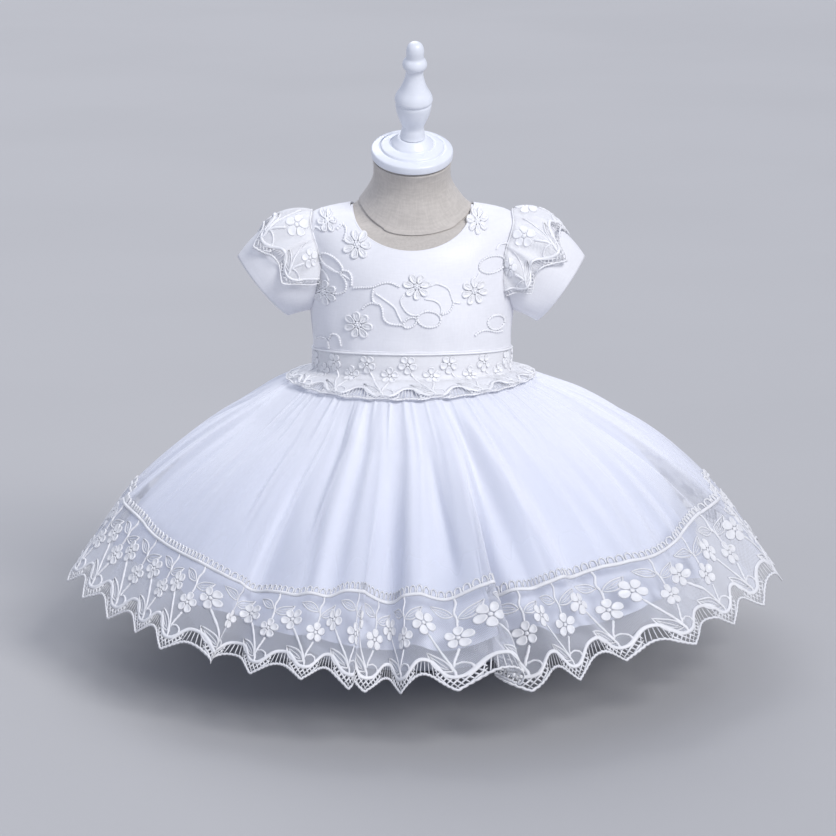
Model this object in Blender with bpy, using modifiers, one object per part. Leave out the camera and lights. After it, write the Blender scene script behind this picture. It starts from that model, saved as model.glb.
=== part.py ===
"""Baby party dress, about 6 to 12 months, worn by a small limbless dress form.

Metres, Z up, front towards -Y. The form's base stands on Z = 0. Every maker's piece is one closed solid:
the front, the two buttoned backs, the cap sleeves and their lace flounces, the waistband and its lace,
the tulle skirt, its lace border, the lining, the net petticoat, and the form with its turned finial.
"""
import math
from collections import namedtuple

import bmesh
import bpy
from mathutils import Matrix, Vector

# Driving sizes
CLOTH = 0.0012          # bodice, sleeve and band wall
SHEER = 0.0010          # tulle, lining and lace wall
SEAM = 0.00015          # half of the space left between sewn edges
SKIN = 0.0004           # space between the form and the bodice
WAIST_TOP = 0.2500      # height of the band's upper edge at the back
WAIST_LOW = 0.2297      # height of the band's lower edge at the back
WAIST_TOP_RISE = 0.0165
WAIST_LOW_RISE = 0.0133
LADDER = 0.69           # where the lace border starts, as a share of the skirt's slant length
LINING_END = 0.845
PETTICOAT_END = 0.965
ARMHOLE_Z = 0.3295
ARMHOLE_HALF_HEIGHT = 0.0375
ARMHOLE_HALF_DEPTH = 0.0270
NECK_HALF_WIDTH = 0.0500
NECK_FRONT_LOW = 0.3480
NECK_FRONT_DROP = 0.0310
NECK_BACK_LOW = 0.3665
NECK_BACK_DROP = 0.0105
BUTTON_R = 0.0050
PLACKET_WIDTH = 0.0140
CAP_CENTRE = Vector((0.0, -0.0142, 0.4208))
NECK_LEAN = 20.0        # degrees that the neck, its cap and its finial lean to the front
NECK_ROLL = 1.6         # degrees that they lean to the wearer's left
BASE_R = 0.0950
BASE_THICK = 0.0160
POLE_R = 0.0125

# The form's rings: lean and back are how far a ring's front half dips and its back half rises, in degrees
Section = namedtuple("Section", "height half_width half_depth shift lean back roll")
FORM = [
    Section(0.1200, 0.0770, 0.0630, 0.0040, 0.0, 0.0, 0.0),
    Section(0.1230, 0.0800, 0.0660, 0.0040, 0.0, 0.0, 0.0),
    Section(0.1380, 0.0822, 0.0682, 0.0040, 0.0, 0.0, 0.0),
    Section(0.1650, 0.0832, 0.0692, 0.0030, 0.0, 0.0, 0.0),
    Section(0.2000, 0.0825, 0.0690, 0.0020, 0.0, 0.0, 0.0),
    Section(0.2350, 0.0808, 0.0680, 0.0000, 0.0, 0.0, 0.0),
    Section(0.2620, 0.0808, 0.0680, -0.0010, 0.0, 0.0, 0.0),
    Section(0.2950, 0.0828, 0.0680, -0.0010, 0.0, 0.0, 0.0),
    Section(0.3200, 0.0838, 0.0660, 0.0000, 1.5, 0.0, 0.0),
    Section(0.3370, 0.0846, 0.0630, 0.0000, 4.0, -1.0, 0.0),
    Section(0.3500, 0.0858, 0.0590, 0.0000, 7.0, -3.0, 0.0),
    Section(0.3600, 0.0866, 0.0540, 0.0000, 10.0, -5.0, 0.0),
    Section(0.3670, 0.0845, 0.0495, 0.0000, 13.0, -6.0, 0.0),
    Section(0.3720, 0.0770, 0.0465, 0.0000, 16.0, -7.0, 0.0),
    Section(0.3755, 0.0640, 0.0448, 0.0000, 18.0, -7.0, 0.0),
    Section(0.3775, 0.0510, 0.0435, 0.0000, 19.0, -6.0, 0.0),
    Section(0.3860, 0.0400, 0.0390, -0.0020, 20.0, 10.0, 0.6),
    Section(0.3990, 0.0322, 0.0320, -0.0065, 20.0, 20.0, 1.2),
    Section(0.4110, 0.0308, 0.0305, -0.0105, 20.0, 20.0, 1.6),
    Section(0.4200, 0.0318, 0.0318, -0.0139, 20.0, 20.0, 1.6),
]

# The skirt's outer surface: down is the share of the slant length from the waist to the hem
Flare = namedtuple("Flare", "down half_width front back height side")
SKIRT = [
    Flare(0.000, 0.0822, 0.0694, 0.0694, 0.2283, 0.0000),
    Flare(0.035, 0.0915, 0.0800, 0.0800, 0.2290, 0.0008),
    Flare(0.080, 0.1015, 0.0930, 0.0930, 0.2258, 0.0020),
    Flare(0.150, 0.1185, 0.1150, 0.1130, 0.2195, 0.0045),
    Flare(0.260, 0.1480, 0.1510, 0.1460, 0.2048, 0.0090),
    Flare(0.460, 0.2000, 0.2060, 0.1970, 0.1680, 0.0105),
    Flare(0.690, 0.2460, 0.2570, 0.2450, 0.1240, 0.0095),
    Flare(0.845, 0.2730, 0.2880, 0.2740, 0.0925, 0.0105),
    Flare(1.000, 0.2990, 0.3170, 0.3010, 0.0600, 0.0110),
]

# Height of the border's upper edge and of the hem, by azimuth from the front, against the heights above
Sway = namedtuple("Sway", "azimuth ladder hem")
SWAY = [
    Sway(0.0, -0.0105, -0.0020),
    Sway(20.0, -0.0080, 0.0000),
    Sway(35.0, -0.0045, 0.0010),
    Sway(50.0, 0.0045, 0.0040),
    Sway(65.0, 0.0110, 0.0085),
    Sway(78.0, 0.0130, 0.0100),
    Sway(90.0, 0.0100, 0.0070),
    Sway(120.0, 0.0040, 0.0020),
    Sway(180.0, 0.0000, 0.0000),
]

# The largest folds: where each runs, how wide it is and how far it stands out (or, negative, falls in)
Fold = namedtuple("Fold", "azimuth half_width out ladder hem")
FOLDS = [
    Fold(-10.5, 4.0, 0.0060, 0.0010, -0.0010),
    Fold(-5.5, 3.6, -0.0110, -0.0040, -0.0010),
    Fold(1.0, 4.0, 0.0040, 0.0000, 0.0000),
    Fold(9.0, 4.2, 0.0120, 0.0130, 0.0080),
    Fold(14.6, 3.4, -0.0150, -0.0060, -0.0050),
    Fold(24.0, 5.0, 0.0050, 0.0010, -0.0010),
    Fold(31.5, 4.2, -0.0080, 0.0000, 0.0030),
    Fold(42.0, 5.0, 0.0060, 0.0000, 0.0000),
    Fold(56.0, 6.0, -0.0070, 0.0000, 0.0000),
    Fold(74.0, 7.0, 0.0060, 0.0000, 0.0010),
    Fold(93.0, 7.0, -0.0090, 0.0010, 0.0020),
    Fold(113.0, 8.0, 0.0080, -0.0010, -0.0020),
    Fold(134.0, 7.0, -0.0100, 0.0010, 0.0030),
    Fold(155.0, 8.0, 0.0090, 0.0000, -0.0020),
    Fold(177.0, 8.0, -0.0110, 0.0010, 0.0030),
    Fold(199.0, 8.0, 0.0080, 0.0000, -0.0020),
    Fold(221.0, 8.0, -0.0090, 0.0010, 0.0020),
    Fold(243.0, 8.0, 0.0070, -0.0010, -0.0010),
    Fold(263.0, 7.0, -0.0080, 0.0000, 0.0010),
    Fold(283.0, 7.0, 0.0060, 0.0000, 0.0000),
    Fold(301.0, 6.0, -0.0070, 0.0000, 0.0010),
    Fold(316.0, 5.0, 0.0060, 0.0010, -0.0010),
    Fold(328.0, 4.2, -0.0080, -0.0030, 0.0010),
    Fold(338.0, 4.5, 0.0040, 0.0000, 0.0010),
]

# How far each inner layer lies under the outer surface
Depth = namedtuple("Depth", "down lining petticoat")
LAYERS = [
    Depth(0.000, 0.0014, 0.0028),
    Depth(0.080, 0.0020, 0.0048),
    Depth(0.260, 0.0060, 0.0130),
    Depth(0.460, 0.0095, 0.0200),
    Depth(0.690, 0.0125, 0.0250),
    Depth(1.000, 0.0150, 0.0290),
]

# Each cap sleeve: its side, the cuff's outer and inner corners (x, z) and the cuff's half depth
Cuff = namedtuple("Cuff", "name side outer_x outer_z inner_x inner_z half_depth")
CUFFS = [
    Cuff("left", -1.0, 0.1450, 0.3334, 0.1040, 0.2848, 0.0210),
    Cuff("right", 1.0, 0.1438, 0.3334, 0.1050, 0.2800, 0.0210),
]

# How far the flounce covers the sleeve, by height round it: -1 underarm, 1 shoulder
Cover = namedtuple("Cover", "level share")
COVERS = [Cover(-0.80, 0.14), Cover(-0.50, 0.40), Cover(0.0, 0.58), Cover(0.6, 0.62), Cover(1.0, 0.86)]

# Turned profiles, radius and height along the neck's axis from the cap's underside
Turned = namedtuple("Turned", "radius height")
CAP = [
    Turned(0.0000, 0.0000), Turned(0.0325, 0.0000), Turned(0.0342, 0.0016), Turned(0.0342, 0.0056),
    Turned(0.0330, 0.0074), Turned(0.0280, 0.0092), Turned(0.0268, 0.0084), Turned(0.0256, 0.0104),
    Turned(0.0192, 0.0124), Turned(0.0180, 0.0116), Turned(0.0168, 0.0138), Turned(0.0115, 0.0182),
    Turned(0.0000, 0.0182),
]
FINIAL = [
    Turned(0.0000, 0.0184), Turned(0.0108, 0.0184), Turned(0.0100, 0.0200), Turned(0.0098, 0.0240),
    Turned(0.0092, 0.0262), Turned(0.0090, 0.0282), Turned(0.0101, 0.0318), Turned(0.0134, 0.0386),
    Turned(0.0150, 0.0492), Turned(0.0143, 0.0506), Turned(0.0154, 0.0520), Turned(0.0158, 0.0540),
    Turned(0.0143, 0.0582), Turned(0.0117, 0.0620), Turned(0.0092, 0.0680), Turned(0.0076, 0.0734),
    Turned(0.0071, 0.0782), Turned(0.0078, 0.0806), Turned(0.0098, 0.0826), Turned(0.0102, 0.0856),
    Turned(0.0096, 0.0886), Turned(0.0074, 0.0912), Turned(0.0072, 0.0924), Turned(0.0074, 0.0980),
    Turned(0.0062, 0.1022), Turned(0.0036, 0.1046), Turned(0.0000, 0.1052),
]


def along(table, column, at):
    """A smooth value of one column between the rows, which are ordered by their first column."""
    keys = [row[0] for row in table]
    values = [getattr(row, column) for row in table]
    if at <= keys[0]:
        return values[0]
    if at >= keys[-1]:
        return values[-1]
    k = max(i for i in range(len(keys) - 1) if keys[i] <= at)

    def slope(i):
        low = max(i - 1, 0)
        high = min(i + 1, len(keys) - 1)
        return (values[high] - values[low]) / (keys[high] - keys[low])

    span = keys[k + 1] - keys[k]
    t = (at - keys[k]) / span
    return (
        (2 * t**3 - 3 * t**2 + 1) * values[k]
        + (t**3 - 2 * t**2 + t) * span * slope(k)
        + (-2 * t**3 + 3 * t**2) * values[k + 1]
        + (t**3 - t**2) * span * slope(k + 1)
    )


def towards_front(angle):
    """1 at the centre front, a half at the side seams, 0 at the centre back."""
    return 0.5 - 0.5 * math.sin(angle)


def form_point(angle, height):
    """On the form: angle 0 is the wearer's left side (+X), a quarter turn is the centre back."""
    lean = math.radians(along(FORM, "back" if math.sin(angle) > 0 else "lean", height))
    roll = math.radians(along(FORM, "roll", height))
    x = along(FORM, "half_width", height) * math.cos(angle)
    y = along(FORM, "half_depth", height) * math.sin(angle)
    point = Vector((x, y * math.cos(lean), y * math.sin(lean)))
    point.z -= x * math.sin(roll)
    return point + Vector((0.0, along(FORM, "shift", height), height))


def normal_of(surface, u, v, du=0.01, dv=0.0008):
    across = surface(u + du, v) - surface(u - du, v)
    along_v = surface(u, v + dv) - surface(u, v - dv)
    return across.cross(along_v).normalized()


def on_form(angle, height, off):
    """A point off the form's surface, measured square to it."""
    return form_point(angle, height) + off * normal_of(form_point, angle, height)


def waist_top(angle):
    return WAIST_TOP + WAIST_TOP_RISE * towards_front(angle)


def waist_low(angle):
    return WAIST_LOW + WAIST_LOW_RISE * towards_front(angle)


def skirt_surface(azimuth, down):
    """On the skirt: azimuth in radians from the centre front, towards the wearer's left."""
    degrees = math.degrees(azimuth) % 360.0
    from_front = min(degrees, 360.0 - degrees)
    forward = math.cos(azimuth)
    half_depth = along(SKIRT, "front" if forward > 0 else "back", down)
    down = max(down, 0.0)
    out = 0.0
    growth = min(down / LADDER, 1.0) ** 1.5
    to_ladder = growth if down < LADDER else (1.0 - down) / (1.0 - LADDER)
    to_hem = 0.0 if down < LADDER else (down - LADDER) / (1.0 - LADDER)
    rise = along(SWAY, "ladder", from_front) * to_ladder + along(SWAY, "hem", from_front) * to_hem
    for fold in FOLDS:
        away = (degrees - fold.azimuth + 180.0) % 360.0 - 180.0
        share = math.exp(-((away / fold.half_width) ** 2))
        out += fold.out * share * down**1.3
        rise += share * (fold.ladder * to_ladder + fold.hem * to_hem)
    rise += WAIST_LOW_RISE * towards_front(azimuth - math.pi / 2) * max(0.0, 1.0 - down / 0.26)
    half_width = along(SKIRT, "half_width", down)
    return Vector((
        along(SKIRT, "side", down) + (half_width + out) * math.sin(azimuth),
        -(half_depth + out) * forward,
        along(SKIRT, "height", down) + rise,
    ))


def on_skirt(azimuth, down, off):
    return skirt_surface(azimuth, down) - off * normal_of(skirt_surface, azimuth, down, 0.05, 0.02)


def sleeve_surface(cuff, turn, out):
    """On a sleeve: turn goes round it from the back (0) over the shoulder, out from armhole to cuff."""
    level = math.sin(turn)
    depth = math.cos(turn)
    y = (ARMHOLE_HALF_DEPTH + 0.0020) * depth
    height = ARMHOLE_Z + (ARMHOLE_HALF_HEIGHT + 0.0015) * level
    angle = math.asin(y / along(FORM, "half_depth", height))
    start = on_form(angle, height, SKIN + CLOTH + 0.0012)
    middle_x = (cuff.outer_x + cuff.inner_x) / 2
    middle_z = (cuff.outer_z + cuff.inner_z) / 2
    end = Vector((
        middle_x + (cuff.outer_x - cuff.inner_x) / 2 * level,
        cuff.half_depth * math.copysign(abs(depth) ** 1.7, depth),
        middle_z + (cuff.outer_z - cuff.inner_z) / 2 * level,
    ))
    puff = max(level, 0.0)
    bow = Vector((0.0050 * puff + 0.0020, 0.0090 * depth, 0.0160 * puff - 0.0010))
    point = (1 - out) ** 2 * start + 2 * out * (1 - out) * ((start + end) / 2 + bow) + out**2 * end
    return Vector((cuff.side * point.x, point.y, point.z))


def on_sleeve(cuff, turn, out, off):
    def surface(u, v):
        return sleeve_surface(cuff, u, v)

    return surface(turn, out) + off * cuff.side * normal_of(surface, turn, out, 0.05, 0.03)


def material(name, colour, rough):
    made = bpy.data.materials.new(name)
    made.use_nodes = True
    shader = made.node_tree.nodes["Principled BSDF"]
    shader.inputs["Base Color"].default_value = (*colour, 1.0)
    shader.inputs["Roughness"].default_value = rough
    return made


def finish(obj, colour, rough):
    obj.data.materials.append(material(obj.name + "_stuff", colour, rough))
    return obj


def mesh_object(name, mesh):
    obj = bpy.data.objects.new(name, mesh)
    bpy.context.scene.collection.objects.link(obj)
    return obj


def wall(name, rows, closed, thick):
    """A cloth wall: rows of points joined by faces, then given its thickness on the outer side."""
    shape = bmesh.new()
    grid = [[shape.verts.new(point) for point in row] for row in rows]
    columns = len(rows[0])
    for upper, lower in zip(grid, grid[1:]):
        for i in range(columns if closed else columns - 1):
            j = (i + 1) % columns
            shape.faces.new((upper[i], lower[i], lower[j], upper[j]))
    mesh = bpy.data.meshes.new(name)
    shape.to_mesh(mesh)
    shape.free()
    obj = mesh_object(name, mesh)
    solid = obj.modifiers.new("thickness", "SOLIDIFY")
    solid.thickness = thick
    solid.offset = 1.0
    solid.use_even_offset = False
    return obj


def turned(name, profile, steps, place):
    """A lathe-turned solid: its profile starts and ends on the axis, lowest point first."""
    mesh = bpy.data.meshes.new(name)
    points = [(row.radius, 0.0, row.height) for row in profile]
    mesh.from_pydata(points, [(i, i + 1) for i in range(len(points) - 1)], [])
    obj = mesh_object(name, mesh)
    screw = obj.modifiers.new("turning", "SCREW")
    screw.steps = steps
    screw.render_steps = steps
    screw.use_merge_vertices = True
    screw.merge_threshold = 0.00001
    screw.use_normal_flip = True
    obj.matrix_world = place
    return obj


def cutter(name, half_x, half_y, length, place):
    """A hidden oval bar along its own Z, used to cut an opening."""
    shape = bmesh.new()
    bmesh.ops.create_cone(
        shape, cap_ends=True, segments=28, radius1=1.0, radius2=1.0, depth=1.0,
        matrix=place @ Matrix.Diagonal((half_x, half_y, length, 1.0)),
    )
    bmesh.ops.recalc_face_normals(shape, faces=shape.faces)
    mesh = bpy.data.meshes.new(name)
    shape.to_mesh(mesh)
    shape.free()
    obj = bpy.data.objects.new(name, mesh)
    cutters.objects.link(obj)
    obj.hide_render = True
    obj.display_type = "WIRE"
    return obj


def neck_cutter(name, low, drop, start, end):
    """A hidden block with a half-oval underside, from start to end along Y."""
    arc = [math.pi * i / 20 for i in range(21)]
    outline = [(NECK_HALF_WIDTH * math.cos(t), low + drop * (1.0 - math.sin(t))) for t in arc]
    outline += [(-NECK_HALF_WIDTH, low + 0.060), (NECK_HALF_WIDTH, low + 0.060)]
    shape = bmesh.new()
    near = shape.faces.new([shape.verts.new((x, start, z)) for x, z in outline])
    moved = bmesh.ops.extrude_face_region(shape, geom=[near])["geom"]
    corners = [item for item in moved if isinstance(item, bmesh.types.BMVert)]
    bmesh.ops.translate(shape, verts=corners, vec=(0.0, end - start, 0.0))
    bmesh.ops.recalc_face_normals(shape, faces=shape.faces)
    mesh = bpy.data.meshes.new(name)
    shape.to_mesh(mesh)
    shape.free()
    obj = bpy.data.objects.new(name, mesh)
    cutters.objects.link(obj)
    obj.hide_render = True
    obj.display_type = "WIRE"
    return obj


def cut(obj, tools):
    for tool in tools:
        step = obj.modifiers.new(tool.name, "BOOLEAN")
        step.operation = "DIFFERENCE"
        step.solver = "EXACT"
        step.object = tool


for old in list(bpy.data.objects):
    bpy.data.objects.remove(old)
cutters = bpy.data.collections.new("cutters")
cutters.hide_render = True
bpy.context.scene.collection.children.link(cutters)

WHITE = (0.86, 0.87, 0.93)
LACE = (0.93, 0.93, 0.97)
LINEN = (0.62, 0.60, 0.57)
PAINT = (0.88, 0.90, 0.94)

# The form: padded body and neck, then the neck's cap and finial, the pole and the base
columns = 40
heights = [row.height for row in FORM]
heights.append(0.2785)
heights.sort()
body = bmesh.new()
rings = []
for height in heights:
    ring = [form_point(2 * math.pi * i / columns, height) for i in range(columns)]
    rings.append([body.verts.new(point) for point in ring])
for low, high in zip(rings, rings[1:]):
    for i in range(columns):
        j = (i + 1) % columns
        body.faces.new((low[i], low[j], high[j], high[i]))
body.faces.new(list(reversed(rings[0])))
body.faces.new(rings[-1])
mesh = bpy.data.meshes.new("form_body")
body.to_mesh(mesh)
body.free()
finish(mesh_object("form_body", mesh), LINEN, 0.9)

axis = Matrix.Translation(CAP_CENTRE)
axis = axis @ Matrix.Rotation(math.radians(NECK_LEAN), 4, "X") @ Matrix.Rotation(math.radians(NECK_ROLL), 4, "Y")
finish(turned("form_cap", CAP, 36, axis), PAINT, 0.35)
finish(turned("form_finial", FINIAL, 24, axis), PAINT, 0.35)
pole = [Turned(0.0, 0.0163), Turned(POLE_R, 0.0163), Turned(POLE_R, 0.1198), Turned(0.0, 0.1198)]
finish(turned("form_pole", pole, 24, Matrix.Translation((0.0, 0.0, 0.0))), PAINT, 0.35)
foot = [
    Turned(0.0, 0.0), Turned(BASE_R - 0.002, 0.0), Turned(BASE_R, 0.002), Turned(BASE_R, 0.008),
    Turned(BASE_R - 0.005, 0.0125), Turned(0.0300, BASE_THICK), Turned(0.0, BASE_THICK),
]
finish(turned("form_base", foot, 40, Matrix.Translation((0.0, 0.0, 0.0))), PAINT, 0.35)

# Bodice: one front and two backs, cut by the neckline and the armholes
sideways = Matrix.Rotation(math.pi / 2, 4, "Y")
armholes = [
    cutter("armhole_left", ARMHOLE_HALF_HEIGHT, ARMHOLE_HALF_DEPTH, 0.070,
           Matrix.Translation((-0.095, 0.0, ARMHOLE_Z)) @ sideways),
    cutter("armhole_right", ARMHOLE_HALF_HEIGHT, ARMHOLE_HALF_DEPTH, 0.070,
           Matrix.Translation((0.095, 0.0, ARMHOLE_Z)) @ sideways),
]
neck_front = neck_cutter("neck_front", NECK_FRONT_LOW, NECK_FRONT_DROP, -0.100, 0.001)
neck_back = neck_cutter("neck_back", NECK_BACK_LOW, NECK_BACK_DROP, -0.001, 0.100)
BODICE_HEIGHTS = [0.2785, 0.2950, 0.3200, 0.3370, 0.3500, 0.3600, 0.3670, 0.3720, 0.3755, 0.3775]


def bodice_panel(name, start, end, count):
    slit = SEAM / 0.066
    angles = [start + slit + (end - start - 2 * slit) * i / count for i in range(count + 1)]
    rows = [[on_form(angle, height, SKIN) for angle in angles] for height in reversed(BODICE_HEIGHTS)]
    rows.append([on_form(angle, waist_top(angle) + SEAM, SKIN) for angle in angles])
    panel = wall(name, rows, False, CLOTH)
    cut(panel, armholes + [neck_front, neck_back])
    return finish(panel, WHITE, 0.5)


bodice_panel("bodice_front", -math.pi, 0.0, 20)
bodice_panel("bodice_back_right", 0.0, math.pi / 2, 10)
bodice_panel("bodice_back_left", math.pi / 2, math.pi, 10)

# Back placket with its four buttons
half = PLACKET_WIDTH / 2 / 0.082
angles = [math.pi / 2 - half, math.pi / 2, math.pi / 2 + half]
rows = [
    [on_form(angle, height, SKIN + CLOTH + 0.0006) for angle in angles]
    for height in (0.3720, 0.3670, 0.3600, 0.3500, 0.3370, 0.3200, 0.2950, 0.2785, WAIST_TOP + 0.0012)
]
placket = wall("back_placket", rows, False, 0.0010)
cut(placket, [neck_back])
finish(placket, WHITE, 0.5)
for number, height in enumerate((0.3600, 0.3320, 0.3040, 0.2760), start=1):
    out = normal_of(form_point, math.pi / 2, height)
    centre = on_form(math.pi / 2, height, SKIN + CLOTH + 0.0020 + 0.6 * BUTTON_R)
    ball = bmesh.new()
    place = Matrix.Translation(centre) @ out.to_track_quat("Z", "Y").to_matrix().to_4x4()
    bmesh.ops.create_uvsphere(
        ball, u_segments=14, v_segments=8, radius=BUTTON_R, matrix=place @ Matrix.Diagonal((1.0, 1.0, 0.6, 1.0))
    )
    mesh = bpy.data.meshes.new("button")
    ball.to_mesh(mesh)
    ball.free()
    finish(mesh_object("button_%d" % number, mesh), (0.92, 0.92, 0.90), 0.25)

# Waistband and the lace strip laid over it, both open at the centre back
slit = SEAM / 0.068
band_angles = [math.pi / 2 + slit + (2 * math.pi - 2 * slit) * i / 40 for i in range(41)]
rows = []
for share in (0.0, 0.5, 1.0):
    row = []
    for angle in band_angles:
        top = waist_top(angle) - SEAM
        row.append(on_form(angle, top + (waist_low(angle) - top) * share, SKIN))
    rows.append(row)
finish(wall("waistband", rows, False, 0.0014), WHITE, 0.45)

rows = []
for share, off in ((0.03, 0.0022), (0.45, 0.0023), (0.88, 0.0026)):
    rows.append([
        on_form(angle, waist_top(angle) + (waist_low(angle) - waist_top(angle)) * share, off)
        for angle in band_angles
    ])
for down, off in ((0.045, 0.0018), (0.075, 0.0020), (0.105, 0.0024)):
    rows.append([on_skirt(angle + math.pi / 2, down, off + SHEER - 0.0004) for angle in band_angles])
finish(wall("waist_lace", rows, False, SHEER), LACE, 0.6)

# Skirt: tulle, lace border, lining and petticoat, with the columns closer together at the front


def skirt_layer(name, downs, count, depth, thick, colour):
    azimuths = [2 * math.pi * i / count - 0.45 * math.sin(2 * math.pi * i / count) for i in range(count)]
    rows = []
    for down in downs:
        off = -along(LAYERS, depth, down) if depth else 0.0
        rows.append([on_skirt(azimuth, down, off) for azimuth in azimuths])
    return finish(wall(name, rows, True, thick), colour, 0.6)


edge = 0.0006
skirt_layer("skirt_tulle", (0.0, 0.045, 0.115, 0.24, 0.40, 0.55, LADDER - edge), 88, None, SHEER, WHITE)
skirt_layer("hem_lace", (LADDER + edge, 0.845, 1.0), 88, None, SHEER, LACE)
skirt_layer("skirt_lining", (0.0, 0.10, 0.24, 0.42, 0.62, LINING_END), 72, "lining", SHEER, WHITE)
skirt_layer("petticoat", (0.0, 0.10, 0.25, 0.45, 0.70, PETTICOAT_END), 56, "petticoat", CLOTH, LACE)

# Cap sleeves, and the lace flounce over each
for cuff in CUFFS:
    turns = [2 * math.pi * i / 22 for i in range(22)]
    if cuff.side > 0:
        turns.reverse()
    rows = [[sleeve_surface(cuff, turn, out) for turn in turns] for out in (0.0, 0.14, 0.36, 0.62, 0.82, 1.0)]
    finish(wall("sleeve_" + cuff.name, rows, True, CLOTH), WHITE, 0.4)
    low = math.radians(-52.0)
    turns = [low + (math.pi - 2 * low) * i / 20 for i in range(21)]
    if cuff.side > 0:
        turns.reverse()
    rows = []
    for step in (0.06, 0.3, 0.65, 1.0):
        row = []
        for turn in turns:
            share = along(COVERS, "share", math.sin(turn))
            puff = 0.0004 + 0.0046 * math.sin(math.pi * min(step * 0.9, 1.0)) * max(math.sin(turn), 0.2)
            row.append(on_sleeve(cuff, turn, share * step, CLOTH + 0.0002 + puff))
        rows.append(row)
    finish(wall("sleeve_lace_" + cuff.name, rows, False, SHEER), LACE, 0.6)
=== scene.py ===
"""Baby party dress and the small form that wears it: the looks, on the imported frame.

Metres, Z up, front towards -Y. Cloth follows the same waist, flare and folds as the frame's solids.
Lace is charted flat, in millimetres, and then sewn to the cloth it belongs to.
"""
import math
from functools import partial

import bpy
import numpy as np
from mathutils import Matrix, Vector


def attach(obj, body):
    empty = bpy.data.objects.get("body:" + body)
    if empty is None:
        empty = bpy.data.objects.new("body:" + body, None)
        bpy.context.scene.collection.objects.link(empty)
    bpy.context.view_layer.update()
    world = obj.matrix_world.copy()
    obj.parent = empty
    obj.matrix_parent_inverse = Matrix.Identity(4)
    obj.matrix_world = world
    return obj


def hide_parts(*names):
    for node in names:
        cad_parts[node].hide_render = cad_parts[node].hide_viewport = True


bl_info = {
    "name": "Baby Party Dress",
    "version": (1, 0, 0),
    "blender": (4, 5, 0),
    "location": "3D View > Sidebar > Dress",
    "description": "A lace-bordered party dress for a baby, on its dress form",
    "category": "Add Mesh",
}

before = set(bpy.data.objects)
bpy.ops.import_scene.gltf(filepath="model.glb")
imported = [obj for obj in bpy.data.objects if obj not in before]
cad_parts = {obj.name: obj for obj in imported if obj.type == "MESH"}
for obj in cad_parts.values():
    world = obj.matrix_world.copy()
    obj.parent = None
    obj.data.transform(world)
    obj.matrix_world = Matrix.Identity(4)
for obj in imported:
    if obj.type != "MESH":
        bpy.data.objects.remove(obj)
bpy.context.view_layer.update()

MM = 0.001


def table(rows, *units):
    """A table's rows with each column in its unit."""
    return np.array(rows, float) * units


# ---------------------------------------------------------------- sizes shared with the frame
CLOTH = 0.0012          # bodice and sleeve wall
SKIN = 0.0004           # space between the form and the bodice
SEAM = 0.00015          # half of the space between sewn edges
WAIST_TOP = 0.2500
WAIST_TOP_RISE = 0.0165
WAIST_LOW = 0.2297
WAIST_LOW_RISE = 0.0133
LADDER = 0.69           # where the lace border starts, as a share of the skirt's slant
ARMHOLE_Z = 0.3295
ARMHOLE_HALF_HEIGHT = 0.0375
ARMHOLE_HALF_DEPTH = 0.0270
NECK_HALF_WIDTH = 0.0500
NECK_FRONT_LOW = 0.3480
NECK_FRONT_DROP = 0.0310
NECK_BACK_LOW = 0.3665
NECK_BACK_DROP = 0.0105
NECK_SEAM = 0.3748      # ring of the form near which its neck cover is sewn on
PLACKET_WIDTH = 0.0140
PLACKET_TOP = 0.3668
BACK_RADIUS = 0.082     # how round the form's back is under the placket
BUTTON_HEIGHTS = (0.3600, 0.3320, 0.3040, 0.2760)
BUTTON_R = 0.0050
CAP_CENTRE = Vector((0.0, -0.0142, 0.4208))
NECK_LEAN = 20.0
NECK_ROLL = 1.6
BASE_R = 95.0           # millimetres, as in the turned profiles below
POLE_R = 12.5

# The form's rings: height, half width, half depth, shift to the back, then degrees of lean at the front,
# rise at the back and roll to the side
FORM = table((
    (120, 77, 63, 4, 0, 0, 0), (123, 80, 66, 4, 0, 0, 0), (138, 82.2, 68.2, 4, 0, 0, 0),
    (165, 83.2, 69.2, 3, 0, 0, 0), (200, 82.5, 69, 2, 0, 0, 0), (235, 80.8, 68, 0, 0, 0, 0),
    (262, 80.8, 68, -1, 0, 0, 0), (295, 82.8, 68, -1, 0, 0, 0), (320, 83.8, 66, 0, 1.5, 0, 0),
    (337, 84.6, 63, 0, 4, -1, 0), (350, 85.8, 59, 0, 7, -3, 0), (360, 86.6, 54, 0, 10, -5, 0),
    (367, 84.5, 49.5, 0, 13, -6, 0), (372, 77, 46.5, 0, 16, -7, 0), (375.5, 64, 44.8, 0, 18, -7, 0),
    (377.5, 51, 43.5, 0, 19, -6, 0), (386, 40, 39, -2, 20, 10, 0.6), (399, 32.2, 32, -6.5, 20, 20, 1.2),
    (411, 30.8, 30.5, -10.5, 20, 20, 1.6), (420, 31.8, 31.8, -13.9, 20, 20, 1.6),
), MM, MM, MM, MM, 1, 1, 1)

# The skirt's outer surface by share of its slant: half width, front, back, height, shift to the side
SKIRT = table((
    (0, 82.2, 69.4, 69.4, 228.3, 0), (0.035, 91.5, 80, 80, 229, 0.8), (0.08, 101.5, 93, 93, 225.8, 2),
    (0.15, 118.5, 115, 113, 219.5, 4.5), (0.26, 148, 151, 146, 204.8, 9), (0.46, 200, 206, 197, 168, 10.5),
    (0.69, 246, 257, 245, 124, 9.5), (0.845, 273, 288, 274, 92.5, 10.5), (1, 299, 317, 301, 60, 11),
    (1.08, 312.4, 332, 314.9, 43.2, 11.2),
), 1, MM, MM, MM, MM, MM)

# By degrees from the centre front: how the border's top and the hem rise or dip
SWAY = table((
    (0, -10.5, -2), (20, -8, 0), (35, -4.5, 1), (50, 4.5, 4), (65, 11, 8.5), (78, 13, 10), (90, 10, 7),
    (120, 4, 2), (180, 0, 0),
), 1, MM, MM)

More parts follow.
